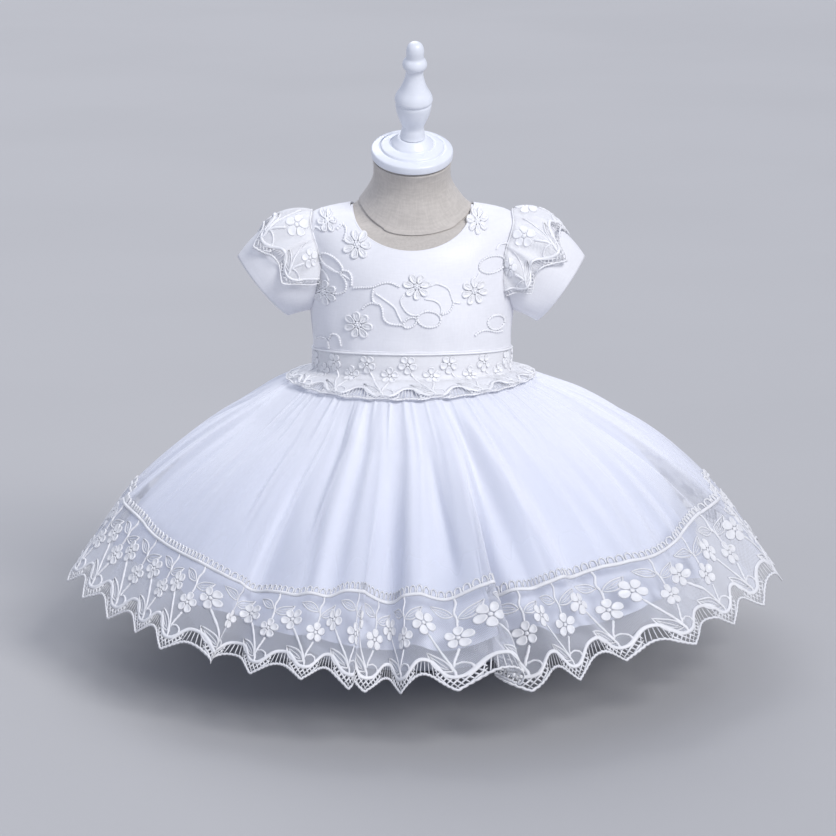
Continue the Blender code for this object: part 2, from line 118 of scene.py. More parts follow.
# The largest folds: degrees from the front, half width, how far each stands out, and how it moves
# the border's top and the hem
FOLDS = table((
    (-10.5, 4, 6, 1, -1), (-7, 3, -11, -4, -1), (1, 4, 4, 0, 0), (9, 4.2, 12, 13, 8), (14.6, 3.4, -15, -6, -5),
    (24, 5, 5, 1, -1), (31.5, 4.2, -8, 0, 3), (42, 5, 6, 0, 0), (56, 6, -7, 0, 0), (74, 7, 6, 0, 1),
    (93, 7, -9, 1, 2), (113, 8, 8, -1, -2), (134, 7, -10, 1, 3), (155, 8, 9, 0, -2), (177, 8, -11, 1, 3),
    (199, 8, 8, 0, -2), (221, 8, -9, 1, 2), (243, 8, 7, -1, -1), (263, 7, -8, 0, 1), (283, 7, 6, 0, 0),
    (301, 6, -7, 0, 1), (316, 5, 6, 1, -1), (328, 4.2, -8, -3, 1), (338, 4.5, 4, 0, 1),
), 1, 1, MM, MM, MM)
# By degrees from the front: how many millimetres lower the border's cord and its scallops hang
HANG = (
    (-180, 2, 3), (-90, 2, 2), (-77, 4, -1), (-69, 5, 1), (-60, 11, 6), (-51, 8.5, 0), (-43, 6.5, 0), (-35, 11.5, 6),
    (-27, 10, 5), (-18, 6, 3), (-14, 1, 3), (-10.5, 0, 5), (-7, 1.5, 7), (-4, 3, 6), (0, 0.5, 4), (4, 5, 4),
    (10.5, 3, 6), (18, 1, 7), (23, -1, 2), (32, -2, 1), (40, -1.5, 0), (45, 2.5, -1), (50, 6, 1), (57, 6, 4),
    (62, 0, 2), (68, -3, 1), (80, 1, 2), (120, 2, 3), (180, 2, 3),
)
# Pleats that reach the skirt's front: degrees from the front at 0.30 and at 0.69 of the slant, half width in
# degrees, millimetres out or in, and the shares of the slant they run between
FRONT_PLEATS = (
    (-44, -40, 1.2, -2.8, 0.22, 0.62), (-42, -39, 1.6, 1.4, 0.26, 1.3), (-37, -35.5, 1.6, 2.2, 0.30, 1.3),
    (-34.5, -32.5, 1.9, -4.6, 0.34, 1.3), (-27.5, -25, 1.7, -3.8, 0.12, 0.62), (-25, -23.5, 1.5, -2.0, 0.48, 1.2),
    (-23, -20.5, 1.8, 3.2, 0.06, 1.3), (-19, -17.5, 1.8, -3.0, 0.10, 1.0), (-16, -14, 1.6, 1.4, 0.14, 0.9),
    (-13, -10.5, 1.4, 1.4, 0.05, 1.2), (-8.2, -6.7, 1.9, -8.6, 0.34, 1.2), (-4, -2.5, 2.2, 4.4, 0.10, 1.4),
    (-1, -0.5, 0.9, 1.0, 0.05, 1.2), (2.3, 5, 1.1, -4.2, 0.25, 0.70), (3.4, 4.2, 2.4, -3.4, 0.30, 1.2),
    (7.4, 7.2, 0.8, 1.2, 0.52, 1.1), (8.8, 8.9, 0.6, 1.0, 0.55, 1.0), (8.8, 10.4, 2.2, 2.0, 0.20, 1.3),
    (11.2, 15, 1.8, -6.0, 0.30, 1.2), (13.6, 18, 1.3, 2.8, 0.12, 1.1), (16.2, 20.4, 1.6, -3.2, 0.10, 1.1),
    (20.3, 25.6, 1.8, 3.6, 0.10, 1.3), (24, 25.2, 0.9, -2.0, 0.14, 0.34), (25.5, 30, 2.2, -3.6, 0.20, 1.2),
    (32, 36.2, 2.2, 2.2, 0.08, 1.3), (36, 42, 1.8, 1.2, 0.30, 1.2), (40.5, 46, 2.8, -1.6, 0.20, 1.2),
    (55, 53, 2.6, -2.8, 0.18, 1.2), (58, 56, 1.2, 2.4, 0.40, 1.2), (60.5, 59.5, 1.4, -2.8, 0.40, 1.2),
    (-52, -50, 3.0, 1.8, 0.10, 1.2), (-60, -59, 3.5, 1.5, 0.10, 1.2), (-68.5, -67.5, 1.4, -2.2, 0.20, 1.2),
)

# By share of the slant: how deep the lining and the petticoat lie under the outer surface
LAYERS = table((
    (0, 1.4, 2.8), (0.08, 2, 4.8), (0.26, 6, 13), (0.46, 9.5, 20), (0.69, 12.5, 25), (1, 15, 29),
), 1, MM, MM)
# By degrees from the front: the share of the slant where the lining and the petticoat end
HEMS = (
    (-180, 0.83, 0.9), (-120, 0.84, 0.92), (-80, 0.83, 0.88), (-60, 0.83, 0.88), (-45, 0.815, 0.86),
    (-30, 0.83, 0.88), (-20, 0.835, 0.89), (-10, 0.845, 0.88), (-4, 0.84, 0.87), (3, 0.845, 0.89),
    (12, 0.83, 0.87), (16, 0.79, 0.84), (20, 0.795, 0.84), (24, 0.83, 0.87), (30, 0.835, 0.89), (38, 0.82, 0.86),
    (50, 0.82, 0.86), (70, 0.83, 0.88), (110, 0.84, 0.89), (150, 0.83, 0.92), (180, 0.83, 0.9),
)

# By degrees from the front: how much higher than its ring the neck cover's seam runs
SEAM_RISE = table((
    (-180, 4), (-75, 7.4), (-45, 4.8), (-25, 1.6), (-9, -1.8), (0, -2.6), (9, -2.1), (25, 0.2), (45, 1.9),
    (75, 3.2), (180, 4),
), 1, MM)

# Each cap sleeve: side, the cuff's outer and inner corners (x, z) and its half depth
CUFFS = {
    "left": (-1.0, 0.1450, 0.3334, 0.1040, 0.2848, 0.0210),
    "right": (1.0, 0.1438, 0.3334, 0.1050, 0.2800, 0.0210),
}
# By height round the sleeve (-1 underarm, 1 shoulder): how far out the flounce's points reach
COVERS = ((-0.80, 0.12), (-0.50, 0.22), (-0.22, 0.43), (0.09, 0.57), (0.58, 0.74), (0.85, 0.72), (1.0, 0.70))

# Folds that lean over their neighbours: degrees from the front, half width, degrees that the cloth swings
LEANING = (
    (8.6, 3.0, 4.8), (15.6, 3.0, -4.2), (-36.5, 2.0, 1.6), (-32.5, 2.0, -1.4), (-12.6, 1.9, 1.7), (-9.2, 1.9, -1.5),
)

# Points of the scallops across the front, in degrees; the back's are spaced evenly
SCALLOPS_FRONT = (
    -77, -69.5, -60.5, -51, -43.5, -35, -27, -18.5, -13, -8, -3.8, 4, 11, 18, 23, 32.5, 45, 58, 66.5, 80,
)
SCALLOPS_BACK = 24
REPEAT = 44.0           # millimetres of lace from one scallop's point to the next
TIP = 80.5              # millimetres down the lace to the tip of each point
CORD_LOW = 69.5         # and to the lowest and the highest places of its scalloped cord
CORD_HIGH = 55.0
KNOT_STEP = 2.0         # millimetres from one knot of the bodice's cords to the next
KNOT_R = 1.15
PICOT = 2.93            # millimetres from one picot of the lace's edge to the next
NET_STEP = 1.85         # and from one column of the net's mesh to the next
WAIST_REPEATS = 15
WAIST_SHIFT = 39.5      # millimetres that its pattern starts past the centre back
WAIST_CROP = 12.0       # millimetres of the lace's depth that the waist's narrower piece leaves off
FLOUNCE_START = {"left": math.radians(-80.0), "right": math.radians(-62.5)}
FLOUNCE_SPAN = math.radians(285.0)
FLOUNCE_REPEATS = 5
FLOUNCE_CROP = 24.0     # and that the flounces leave off
SKIRT_COLUMNS = 1200
PETTICOAT_COLUMNS = 640
UV_RADIUS = 0.075       # turns angles round the body into metres of flat cloth
BODY_HALF_DEPTH = 0.066     # turns the seams' half widths into angles
WAIST_HALF_DEPTH = 0.068
NET_LIFT = 0.0005       # how far the tulle and the net lie off the skirt's outer surface
WAIST_FADE = 0.26       # the share of the slant down which the waist's own slope fades out
RISING, FALLING = 0.28, 0.16    # the shares of the slant in which a gather grows and dies away
EVEN_OUT = 0.35         # how much flatter the broad pleats are at the hem than above
SLANT_MM = 0.003827     # a millimetre down the border, as a share of the slant

# How the waist's lace lies: the shares of its depth where its rows are set; the rows on the band, by share of
# the band's height, and on the flare, by share of the slant, each with how far it stands off
LACE_KEYS = (-0.1, 0.0, 0.19, 0.38, 0.55, 0.715, 0.88, 1.0)
LACE_ON_BAND = ((-0.2, 0.0025), (0.03, 0.0027), (0.45, 0.0028), (0.88, 0.0031))
LACE_ON_FLARE = ((0.042, 0.0026), (0.070, 0.0029), (0.098, 0.0036), (0.118, 0.0042))

# Turned profiles in millimetres: radius and height along the axis, the cap's and finial's from the cap's underside
CAP = (
    (0, 0), (32.2, 0), (33.8, 0.4), (34.2, 1.6), (34.2, 5.6), (33.9, 6.8), (33, 7.5), (28.4, 9), (27.6, 9),
    (27, 8.4), (26.6, 8.5), (26, 10.2), (25.2, 10.6), (19.6, 12.2), (18.8, 12.2), (18.2, 11.6), (17.8, 11.7),
    (17, 13.4), (16, 14.2), (12.4, 17.6), (11.5, 18.2), (0, 18.2),
)
FINIAL = (
    (0, 18.4), (10.6, 18.4), (10.9, 18.7), (10.1, 20), (9.8, 24), (9.2, 26.2), (9, 28.2), (10.1, 31.8),
    (13.4, 38.6), (15, 47), (15, 49.2), (14.5, 50.2), (14.4, 50.7), (15.1, 51.4), (15.8, 52.4), (15.9, 54),
    (14.5, 58.2), (11.7, 62), (9.2, 68), (7.6, 73.4), (7.1, 78.2), (7.7, 80.4), (8.4, 81.2), (9.7, 82.4),
    (10.3, 84.6), (10.1, 86.6), (9, 89), (7.4, 90.8), (7.2, 92.4), (7.5, 95.6), (7.3, 99.2), (6, 102.8),
    (3.4, 104.8), (0, 105.2),
)
POLE = ((0, 16.3), (POLE_R - 1, 16.3), (POLE_R, 17.2), (POLE_R, 119), (POLE_R - 1, 119.8), (0, 119.8))
BASE = (
    (0, 0), (BASE_R - 3, 0), (BASE_R - 0.5, 0.6), (BASE_R, 2.5), (BASE_R, 7.5), (BASE_R - 1, 9.5), (BASE_R - 5, 11.8),
    (60, 14.2), (33, 15.8), (0, 16),
)
BUTTON = (
    (0, -2.8), (3, -2.8), (4.7, -1.2), (5, 0), (4.7, 1), (4, 1.3), (3.7, 1.1), (3.3, 1.7), (1.8, 2.6), (0, 2.9),
)

# The studio: each lamp's name, place, softness in degrees, strength and colour; the sky; and the camera, which
# looks down by so many degrees
LAMPS = (
    ("key", (2.2, -2.7, 2.8), 26.0, 2.42, (1.0, 0.985, 0.97)),
    ("fill", (-3.0, -2.4, 1.8), 40.0, 0.42, (0.88, 0.92, 1.0)),
    ("back", (-0.8, 3.2, 3.0), 40.0, 1.20, (0.96, 0.97, 1.0)),
)
SKY = {"Color": (0.74, 0.80, 1.0, 1.0), "Strength": 0.48}
CAMERA_PLACE = (0.005, -2.9, 0.870)
CAMERA_DIP = 13.1
CAMERA_LENS = 151.7
CAMERA_FILM = 36.0


# ---------------------------------------------------------------- reading tables and surfaces
def listed(*columns):
    """Arrays side by side in a last axis, as the coordinates of points."""
    return np.stack(np.broadcast_arrays(*columns), axis=-1)


def spread_out(*values):
    """Numbers or arrays as float arrays of one shape."""
    return np.broadcast_arrays(*[np.asarray(value, float) for value in values])


def bell(away):
    """1 at the middle, fading to nothing about two steps away."""
    return np.exp(-(away**2))


def eased(share):
    """A share from 0 to 1 that starts and ends gently."""
    return share**2 * (3 - 2 * share)


def kept(share, low=0.0, high=1.0):
    """A value held between two limits."""
    return np.clip(share, low, high)


def apart(degrees, place=0.0):
    """How many degrees an angle is past a place, the short way round."""
    return (degrees - place + 180.0) % 360.0 - 180.0


def unit(vectors, least=1e-12):
    return vectors / np.maximum(np.linalg.norm(vectors, axis=-1, keepdims=True), least)


def through(keys, values, at):
    """Smooth curves through values at their keys. The values may differ from one place to the next."""
    order = np.arange(len(keys))
    after, before = np.minimum(order + 1, order[-1]), np.maximum(order - 1, 0)
    gaps = (keys[after] - keys[before]).reshape((-1,) + (1,) * (values.ndim - 1))
    slopes = (values[after] - values[before]) / gaps
    low = np.clip(np.searchsorted(keys, at, side="right") - 1, 0, len(keys) - 2)
    own = np.indices(low.shape) if values.ndim > 2 else ()
    here, there = (low, *own), (low + 1, *own)
    span = (keys[low + 1] - keys[low])[..., None]
    t = (at - keys[low])[..., None] / span
    return (
        (1 - eased(t)) * values[here] + eased(t) * values[there]
        + (t**3 - 2 * t**2 + t) * span * slopes[here] + (t**3 - t**2) * span * slopes[there]
    )


def read(rows, at):
    """The columns of a table after its key, as smooth curves through its rows, held at both ends."""
    rows = np.asarray(rows, float)
    at = np.clip(np.asarray(at, float), rows[0, 0], rows[-1, 0])
    return np.moveaxis(through(rows[:, 0], rows[:, 1:], at), -1, 0)


def normal_of(surface, u, v, du=0.01, dv=0.0008):
    return unit(np.cross(surface(u + du, v) - surface(u - du, v), surface(u, v + dv) - surface(u, v - dv)))


def lifted(surface, u, v, off, *steps):
    """On a surface, and then off it along its normal."""
    return surface(u, v) + np.asarray(off, float)[..., None] * normal_of(surface, u, v, *steps)


def form_point(angle, height):
    """On the form: angle 0 is the wearer's left side (+X), a quarter turn is the centre back."""
    angle, height = spread_out(angle, height)
    half_width, half_depth, shift, lean, back, roll = read(FORM, height)
    tilt = np.radians(np.where(np.sin(angle) > 0, back, lean))
    x, y = half_width * np.cos(angle), half_depth * np.sin(angle)
    return listed(x, y * np.cos(tilt) + shift, y * np.sin(tilt) - x * np.sin(np.radians(roll)) + height)


def on_form(angle, height, off):
    return lifted(form_point, angle, height, off)


def towards_front(angle):
    return 0.5 - 0.5 * np.sin(angle)


def waist_top(angle):
    return WAIST_TOP + WAIST_TOP_RISE * towards_front(angle)


def waist_low(angle):
    return WAIST_LOW + WAIST_LOW_RISE * towards_front(angle)


def skirt_surface(azimuth, down):
    """On the skirt: azimuth in radians from the centre front, towards the wearer's left."""
    azimuth, down = spread_out(azimuth, down)
    degrees = np.degrees(azimuth) % 360.0
    half_width, front, back, height, side = read(SKIRT, down)
    down = np.clip(down, 0.0, None)
    half_depth = np.where(np.cos(azimuth) > 0, front, back)
    to_hem = np.clip((down - LADDER) / (1.0 - LADDER), 0.0, None)
    to_ladder = np.where(down < LADDER, np.minimum(down / LADDER, 1.0) ** 1.5, 1.0 - to_hem)
    at_waist = np.clip(1.0 - down / WAIST_FADE, 0.0, None)
    sway_ladder, sway_hem = read(SWAY, np.minimum(degrees, 360.0 - degrees))
    rise = sway_ladder * to_ladder + sway_hem * to_hem
    rise = rise + WAIST_LOW_RISE * towards_front(azimuth - math.pi / 2) * at_waist
    out = np.zeros_like(degrees)
    for place, half, stands, ladder, hem in FOLDS:
        share = bell(apart(degrees, place) / half)
        out += stands * share * down**1.3
        rise = rise + share * (ladder * to_ladder + hem * to_hem)
    return listed(side + (half_width + out) * np.sin(azimuth), -(half_depth + out) * np.cos(azimuth), height + rise)


def on_skirt(azimuth, down, off):
    return lifted(skirt_surface, azimuth, down, -np.asarray(off, float), 0.05, 0.02)


def ridges(count, seed, half_width, stands, start, end, span=(0.0, 360.0)):
    """Uneven gathers: place, half width, height, drift, and the shares of the slant they live in."""
    chance = np.random.default_rng(seed)
    places = span[0] + (np.arange(count) + chance.uniform(-0.36, 0.36, count)) * (span[1] - span[0]) / count
    return listed(
        places, half_width * chance.uniform(0.65, 1.35, count), stands * chance.uniform(0.35, 1.25, count),
        *[chance.uniform(*ends, count) for ends in ((-1.6, 1.6), start, end)],
    )


def front_pleats():
    """The front's own pleats in the same columns."""
    place, lower, half, stands, start, end = np.transpose(FRONT_PLEATS)
    drift = (lower - place) / 0.39
    return listed(place + 0.1 * drift, half, stands * MM, drift, start, end)


def gathered(azimuth, down, rows):
    """How far the gathers lift the cloth, about its own level."""
    degrees = np.degrees(azimuth) % 360.0
    lift = np.zeros(np.broadcast(degrees, down).shape)
    for place, half, stands, drift, start, end in rows:
        away = apart(degrees, place + drift * (down - 0.4))
        live = eased(kept((down - start + 0.06) / RISING)) * eased(kept((end - down) / FALLING))
        lift += stands * live * (bell(away / half) - math.sqrt(math.pi) * half / 360.0)
    return lift


FINE_GATHERS = ridges(84, 11, 0.75, 0.0011, (-0.30, -0.26), (0.16, 0.42))
BROAD_PLEATS = np.concatenate([
    front_pleats(), ridges(28, 5, 2.3, 0.0046, (0.04, 0.24), (1.10, 1.40), (74.0, 288.0)),
    ridges(22, 8, 1.1, -0.0036, (0.04, 0.24), (0.70, 1.30), (70.0, 290.0)),
])
TULLE_PLEATS = np.concatenate([
    ridges(40, 23, 1.5, 0.0024, (0.06, 0.34), (0.80, 1.30), (72.0, 290.0)),
    ridges(26, 31, 1.1, 0.0010, (0.10, 0.40), (0.60, 1.10), (-70.0, 72.0)),
])


def swung(point, azimuth, down, share=1.0):
    """Swings the cloth round the skirt's middle where a fold leans over its neighbour."""
    degrees = apart(np.degrees(azimuth))
    swing = sum(by * bell((degrees - place) / half) for place, half, by in LEANING)
    turn = np.radians(swing) * kept(down, 0.0, 1.1) ** 1.5 * share
    middle = read(SKIRT, down)[4]
    x, y = point[..., 0] - middle, point[..., 1]
    return listed(middle + x * np.cos(turn) - y * np.sin(turn), y * np.cos(turn) + x * np.sin(turn), point[..., 2])


def hang_of(azimuth):
    """Millimetres that the border's cord and its scallops hang lower at an azimuth."""
    return read(HANG, apart(np.degrees(azimuth)))


def hem_of(azimuth, layer):
    """The share of the slant where the lining (0) or the petticoat (1) ends."""
    degrees = apart(np.degrees(azimuth))
    return read(HEMS, degrees)[layer] + 0.006 * np.sin(np.radians(degrees) * 23) * (1 + layer)


def pleats(azimuth, down):
    """The lift that the tulle, the lining and the border share."""
    calm = 1.0 - EVEN_OUT * kept((down - 0.6) / 0.4)
    return gathered(azimuth, down, FINE_GATHERS) + gathered(azimuth, down, BROAD_PLEATS) * calm


def outer_cloth(azimuth, down, off):
    """On the tulle and its lace border, with every gather and fold."""
    azimuth, down = spread_out(azimuth, down)
    lift = pleats(azimuth, down) + gathered(azimuth, down, TULLE_PLEATS) * kept((0.95 - down) / 0.3)
    return swung(on_skirt(azimuth, down, off + lift), azimuth, down)


def tulle_point(azimuth, down):
    """On the tulle, which reaches down to the border's cord wherever that hangs."""
    lower = hang_of(azimuth)[0] * SLANT_MM * (np.asarray(down, float) / LADDER) ** 4
    return outer_cloth(azimuth, down + lower, NET_LIFT)


def under_cloth(azimuth, down, layer):
    """On the lining (0) or the petticoat (1), which hang deeper at the wearer's left side."""
    azimuth, down = spread_out(azimuth, down)
    to_left = bell((apart(np.degrees(azimuth)) - 88.0) / 28.0)
    depth = read(LAYERS, down)[layer] + 0.026 * to_left * down / LADDER
    point = on_skirt(azimuth, down, pleats(azimuth, down) * 0.9 - depth)
    return swung(point, azimuth, down, 1.0 - 0.4 * layer)


def hemmed(layer):
    """The surface of the lining (0) or the petticoat (1) down to its own hem."""
    return lambda azimuth, share: under_cloth(azimuth, share * hem_of(azimuth, layer), layer)


def scallop_table():
    """Degrees from the front at each scallop's point, keyed by its number, with both ends carried past."""
    front = np.array(SCALLOPS_FRONT)
    gap = (front[0] + 360.0 - front[-1]) / (SCALLOPS_BACK + 1)
    order = np.arange(1, SCALLOPS_BACK + 1)
    ring = np.concatenate([front, front[-1] + gap * order + 0.5 * np.sin(2.3 * order)])
    degrees = np.concatenate([ring[-3:] - 360.0, ring, ring[:3] + 360.0])
    return listed(np.arange(-3, len(ring) + 3), degrees)


SCALLOPS = scallop_table()
SCALLOP_COUNT = len(SCALLOPS) - 6


def border_point(flat):
    """Where a point of the charted border (x, y, height in millimetres) lies on the skirt."""
    azimuth = np.radians(read(SCALLOPS, (flat[..., 0] / REPEAT) % SCALLOP_COUNT)[0])
    top, low = hang_of(azimuth)
    down = LADDER + (flat[..., 1] + top + (low - top) * flat[..., 1] / CORD_LOW) * SLANT_MM
    return outer_cloth(azimuth, down, flat[..., 2] * MM + NET_LIFT)


def sleeve_surface(cuff, turn, out):
    """On a sleeve: turn goes round it from the back (0) over the shoulder, out from armhole to cuff."""
    side, outer_x, outer_z, inner_x, inner_z, half_cuff = CUFFS[cuff]
    turn, out = spread_out(turn, out)
    level, depth = np.sin(turn), np.cos(turn)
    y = (ARMHOLE_HALF_DEPTH + 0.0020) * depth
    height = ARMHOLE_Z + (ARMHOLE_HALF_HEIGHT + 0.0015) * level
    start = on_form(np.arcsin(y / read(FORM, height)[1]), height, SKIN + CLOTH + 0.0012)
    end = listed(
        (outer_x + inner_x) / 2 + (outer_x - inner_x) / 2 * level,
        half_cuff * np.copysign(np.abs(depth) ** 1.7, depth),
        (outer_z + inner_z) / 2 + (outer_z - inner_z) / 2 * level,
    )
    puff = np.maximum(level, 0.0)
    bow = listed(0.0050 * puff + 0.0020, 0.0090 * depth, 0.0160 * puff - 0.0010)
    out = out[..., None]
    point = (1 - out) ** 2 * start + 2 * out * (1 - out) * ((start + end) / 2 + bow) + out**2 * end
    return point * np.array([side, 1.0, 1.0])


def on_sleeve(cuff, turn, out, off):
    return lifted(partial(sleeve_surface, cuff), turn, out, off * CUFFS[cuff][0], 0.05, 0.03)


def find_on_form(x, z, off, back):
    """The angle and ring of the form's surface that a pin pushed in at (x, z) from the front or back meets."""
    x, z, off = spread_out(x, z, off)
    small_turn, small_climb, tries = 1e-4, 1e-5, 14
    most_turn, most_climb = 0.2, 0.006
    angle = (1.0 if back else -1.0) * np.arccos(kept(x / (read(FORM, z)[0] + off), -0.98, 0.98))
    height = np.array(z)
    for _ in range(tries):
        point = on_form(angle, height, off)
        by_angle = (on_form(angle + small_turn, height, off) - point) / small_turn
        by_height = (on_form(angle, height + small_climb, off) - point) / small_climb
        miss_x, miss_z = x - point[..., 0], z - point[..., 2]
        spread = by_angle[..., 0] * by_height[..., 2] - by_height[..., 0] * by_angle[..., 2]
        spread = np.copysign(np.maximum(np.abs(spread), 1e-5), spread)
        turn = (miss_x * by_height[..., 2] - by_height[..., 0] * miss_z) / spread
        climb = (by_angle[..., 0] * miss_z - miss_x * by_angle[..., 2]) / spread
        angle = angle + kept(turn, -most_turn, most_turn)
        height = kept(height + kept(climb, -most_climb, most_climb), 0.23, 0.42)
    return angle, height


def bodice_ease(angle, height):
    """How far the bodice stands off the form: drag lines above the waist and soft hollows higher up."""
    above = height - waist_top(angle)
    drag = 0.0004 * np.sin(angle * 17 + 1.3 * np.sin(angle * 5)) * bell(above / 0.022)
    hollow = 0.0005 * np.sin(angle * 4.3 + height * 90) * (1.0 - bell(above / 0.010))
    return SKIN + 0.0001 + kept(drag + hollow + 0.0006, 0.0, 0.0014)


def bodice_point(flat, back=False):
    """Where a point of the charted bodice embroidery (x, height up, lift in millimetres) lies."""
    angle, height = find_on_form(flat[..., 0] * MM, flat[..., 1] * MM, SKIN + CLOTH, back)
    return on_form(angle, height, bodice_ease(angle, height) + CLOTH + flat[..., 2] * MM)


def waist_lace_point(flat):
    """Where a point of the charted waist lace (x in turns round the waist, y as a share, lift in mm) lies."""
    angle, share = math.pi / 2 + 2 * math.pi * flat[..., 0], flat[..., 1]
    top = waist_top(angle)
    rows = [on_form(angle, top + (waist_low(angle) - top) * level, off) for level, off in LACE_ON_BAND]
    reach = 1.0 - 0.12 * np.sin(angle + math.pi / 2) - 0.15 * np.cos(angle) ** 2
    rows += [on_skirt(angle + math.pi / 2, down * reach, off) for down, off in LACE_ON_FLARE]
    upward = np.clip((share - 0.5) / 0.5, 0.0, 1.0)[..., None] * np.array([0.0, 0.0, 1.0])
    facing = unit(on_form(angle, top, 1.0) - form_point(angle, top) + upward)
    return through(np.array(LACE_KEYS), np.stack(rows), share) + facing * flat[..., 2:3] * MM


# ---------------------------------------------------------------- meshes
def new_piece(name, points, faces, corner_uv=None):
    """A smooth mesh object from points and faces, with its cloth's flat layout corner by corner."""
    mesh = bpy.data.meshes.new(name)
    mesh.from_pydata(np.asarray(points).reshape(-1, 3).tolist(), [], faces)
    mesh.polygons.foreach_set("use_smooth", [True] * len(mesh.polygons))
    if corner_uv is not None:
        layout = mesh.uv_layers.new(name="flat")
        layout.data.foreach_set("uv", np.asarray(corner_uv, float).ravel())
    obj = bpy.data.objects.new(name, mesh)
    bpy.context.scene.collection.objects.link(obj)
    return obj


def quads_of(rows, columns, wrap, joined=False):
    """Corner numbers of a grid's quads, row by row; wrap joins its last column to its first, joined its rows."""
    first = np.arange(rows if joined else rows - 1)[:, None] * columns
    following = (first + columns) % (rows * columns)
    across = np.arange(columns if wrap else columns - 1)[None, :]
    beside = (across + 1) % columns
    return listed(first + across, following + across, following + beside, first + beside).reshape(-1, 4)


def tube_faces(rings, sides, joined=False, turned=False):
    """The walls between rings of points, and the two ends of a tube that isn't joined up."""
    quads = quads_of(rings, sides, True, joined)
    ends = [] if joined else [list(range(sides)), list(range(rings * sides - 1, (rings - 1) * sides - 1, -1))]
    if turned:
        return quads[:, [0, 3, 2, 1]].tolist() + [end[::-1] for end in ends]
    return quads.tolist() + ends


def sheet_piece(name, points, uv, closed=False, turned=False):
    """A sheet of cloth from a grid of points. A closed one's uv grid has one column more than its points."""
    quads = quads_of(*points.shape[:2], closed)
    layout = quads_of(len(points), uv.shape[1], False)
    if turned:
        quads, layout = quads[:, ::-1], layout[:, ::-1]
    return new_piece(name, points, quads.tolist(), uv.reshape(-1, 2)[layout.ravel()])


def take(obj):
    bpy.ops.object.select_all(action="DESELECT")
    obj.select_set(True)
    bpy.context.view_layer.objects.active = obj


def in_edit_mode(obj, *steps, select="SELECT"):
    """Runs mesh operators, each a name with its options, on a piece in edit mode."""
    take(obj)
    bpy.ops.object.mode_set(mode="EDIT")
    bpy.ops.mesh.select_all(action=select)
    for name, options in steps:
        getattr(bpy.ops.mesh, name)(**options)
    bpy.ops.object.mode_set(mode="OBJECT")
    return obj


FACING_OUT = ("normals_make_consistent", {"inside": False})
ALL = ("select_all", {"action": "SELECT"})


def with_modifier(obj, kind, **settings):
    """Gives a piece a modifier and applies it."""
    take(obj)
    modifier = obj.modifiers.new("step", kind)
    for label, value in settings.items():
        setattr(modifier, label, value)
    bpy.ops.object.modifier_apply(modifier=modifier.name)
    return obj


def thicken(obj, thickness):
    return with_modifier(obj, "SOLIDIFY", thickness=thickness, offset=1.0, use_even_offset=False)


def turned_piece(name, profile, place, steps=32, smooth=2):
    """Draws a profile point by point, spins it as on a lathe, rounds it and stands it in place."""
    bpy.ops.object.select_all(action="DESELECT")
    bpy.ops.mesh.primitive_plane_add(size=0.002)
    obj = bpy.context.object
    obj.name = obj.data.name = name
    path = [Vector((radius, 0.0, height)) * MM for radius, height in profile]
    in_edit_mode(obj, ("merge", {"type": "CENTER"}))
    obj.data.transform(Matrix.Translation(path[0]))
    draw = [
        ("extrude_region_move", {"TRANSFORM_OT_translate": {"value": later - earlier}})
        for earlier, later in zip(path, path[1:])
    ]
    in_edit_mode(
        obj, *draw, ALL,
        ("spin", {"steps": steps, "angle": 2 * math.pi, "center": (0, 0, 0), "axis": (0, 0, 1)}), ALL,
        ("remove_doubles", {"threshold": 2e-5}), FACING_OUT,
    )
    with_modifier(obj, "SUBSURF", levels=smooth, render_levels=smooth)
    obj.data.transform(place)
    bpy.ops.object.shade_smooth()
    return obj


THREAD_END = 0.45       # how thin a thread is where it begins and ends, as a share of its width
# The cross-section of a thread by its number of sides: across in half widths, up in heights
SECTIONS = {
    4: np.array([(-1.0, 0.1), (0.0, 1.0), (1.0, 0.1), (0.0, -0.25)]),
    6: np.array([(-1.0, 0.1), (-0.62, 0.8), (0.0, 1.0), (0.62, 0.8), (1.0, 0.1), (0.0, -0.25)]),
}


def around(count, turn=0.0):
    """Unit steps out in so many directions, from a turn in degrees."""
    angles = math.radians(turn) + 2 * math.pi * np.arange(count) / count
    return listed(np.cos(angles), np.sin(angles))


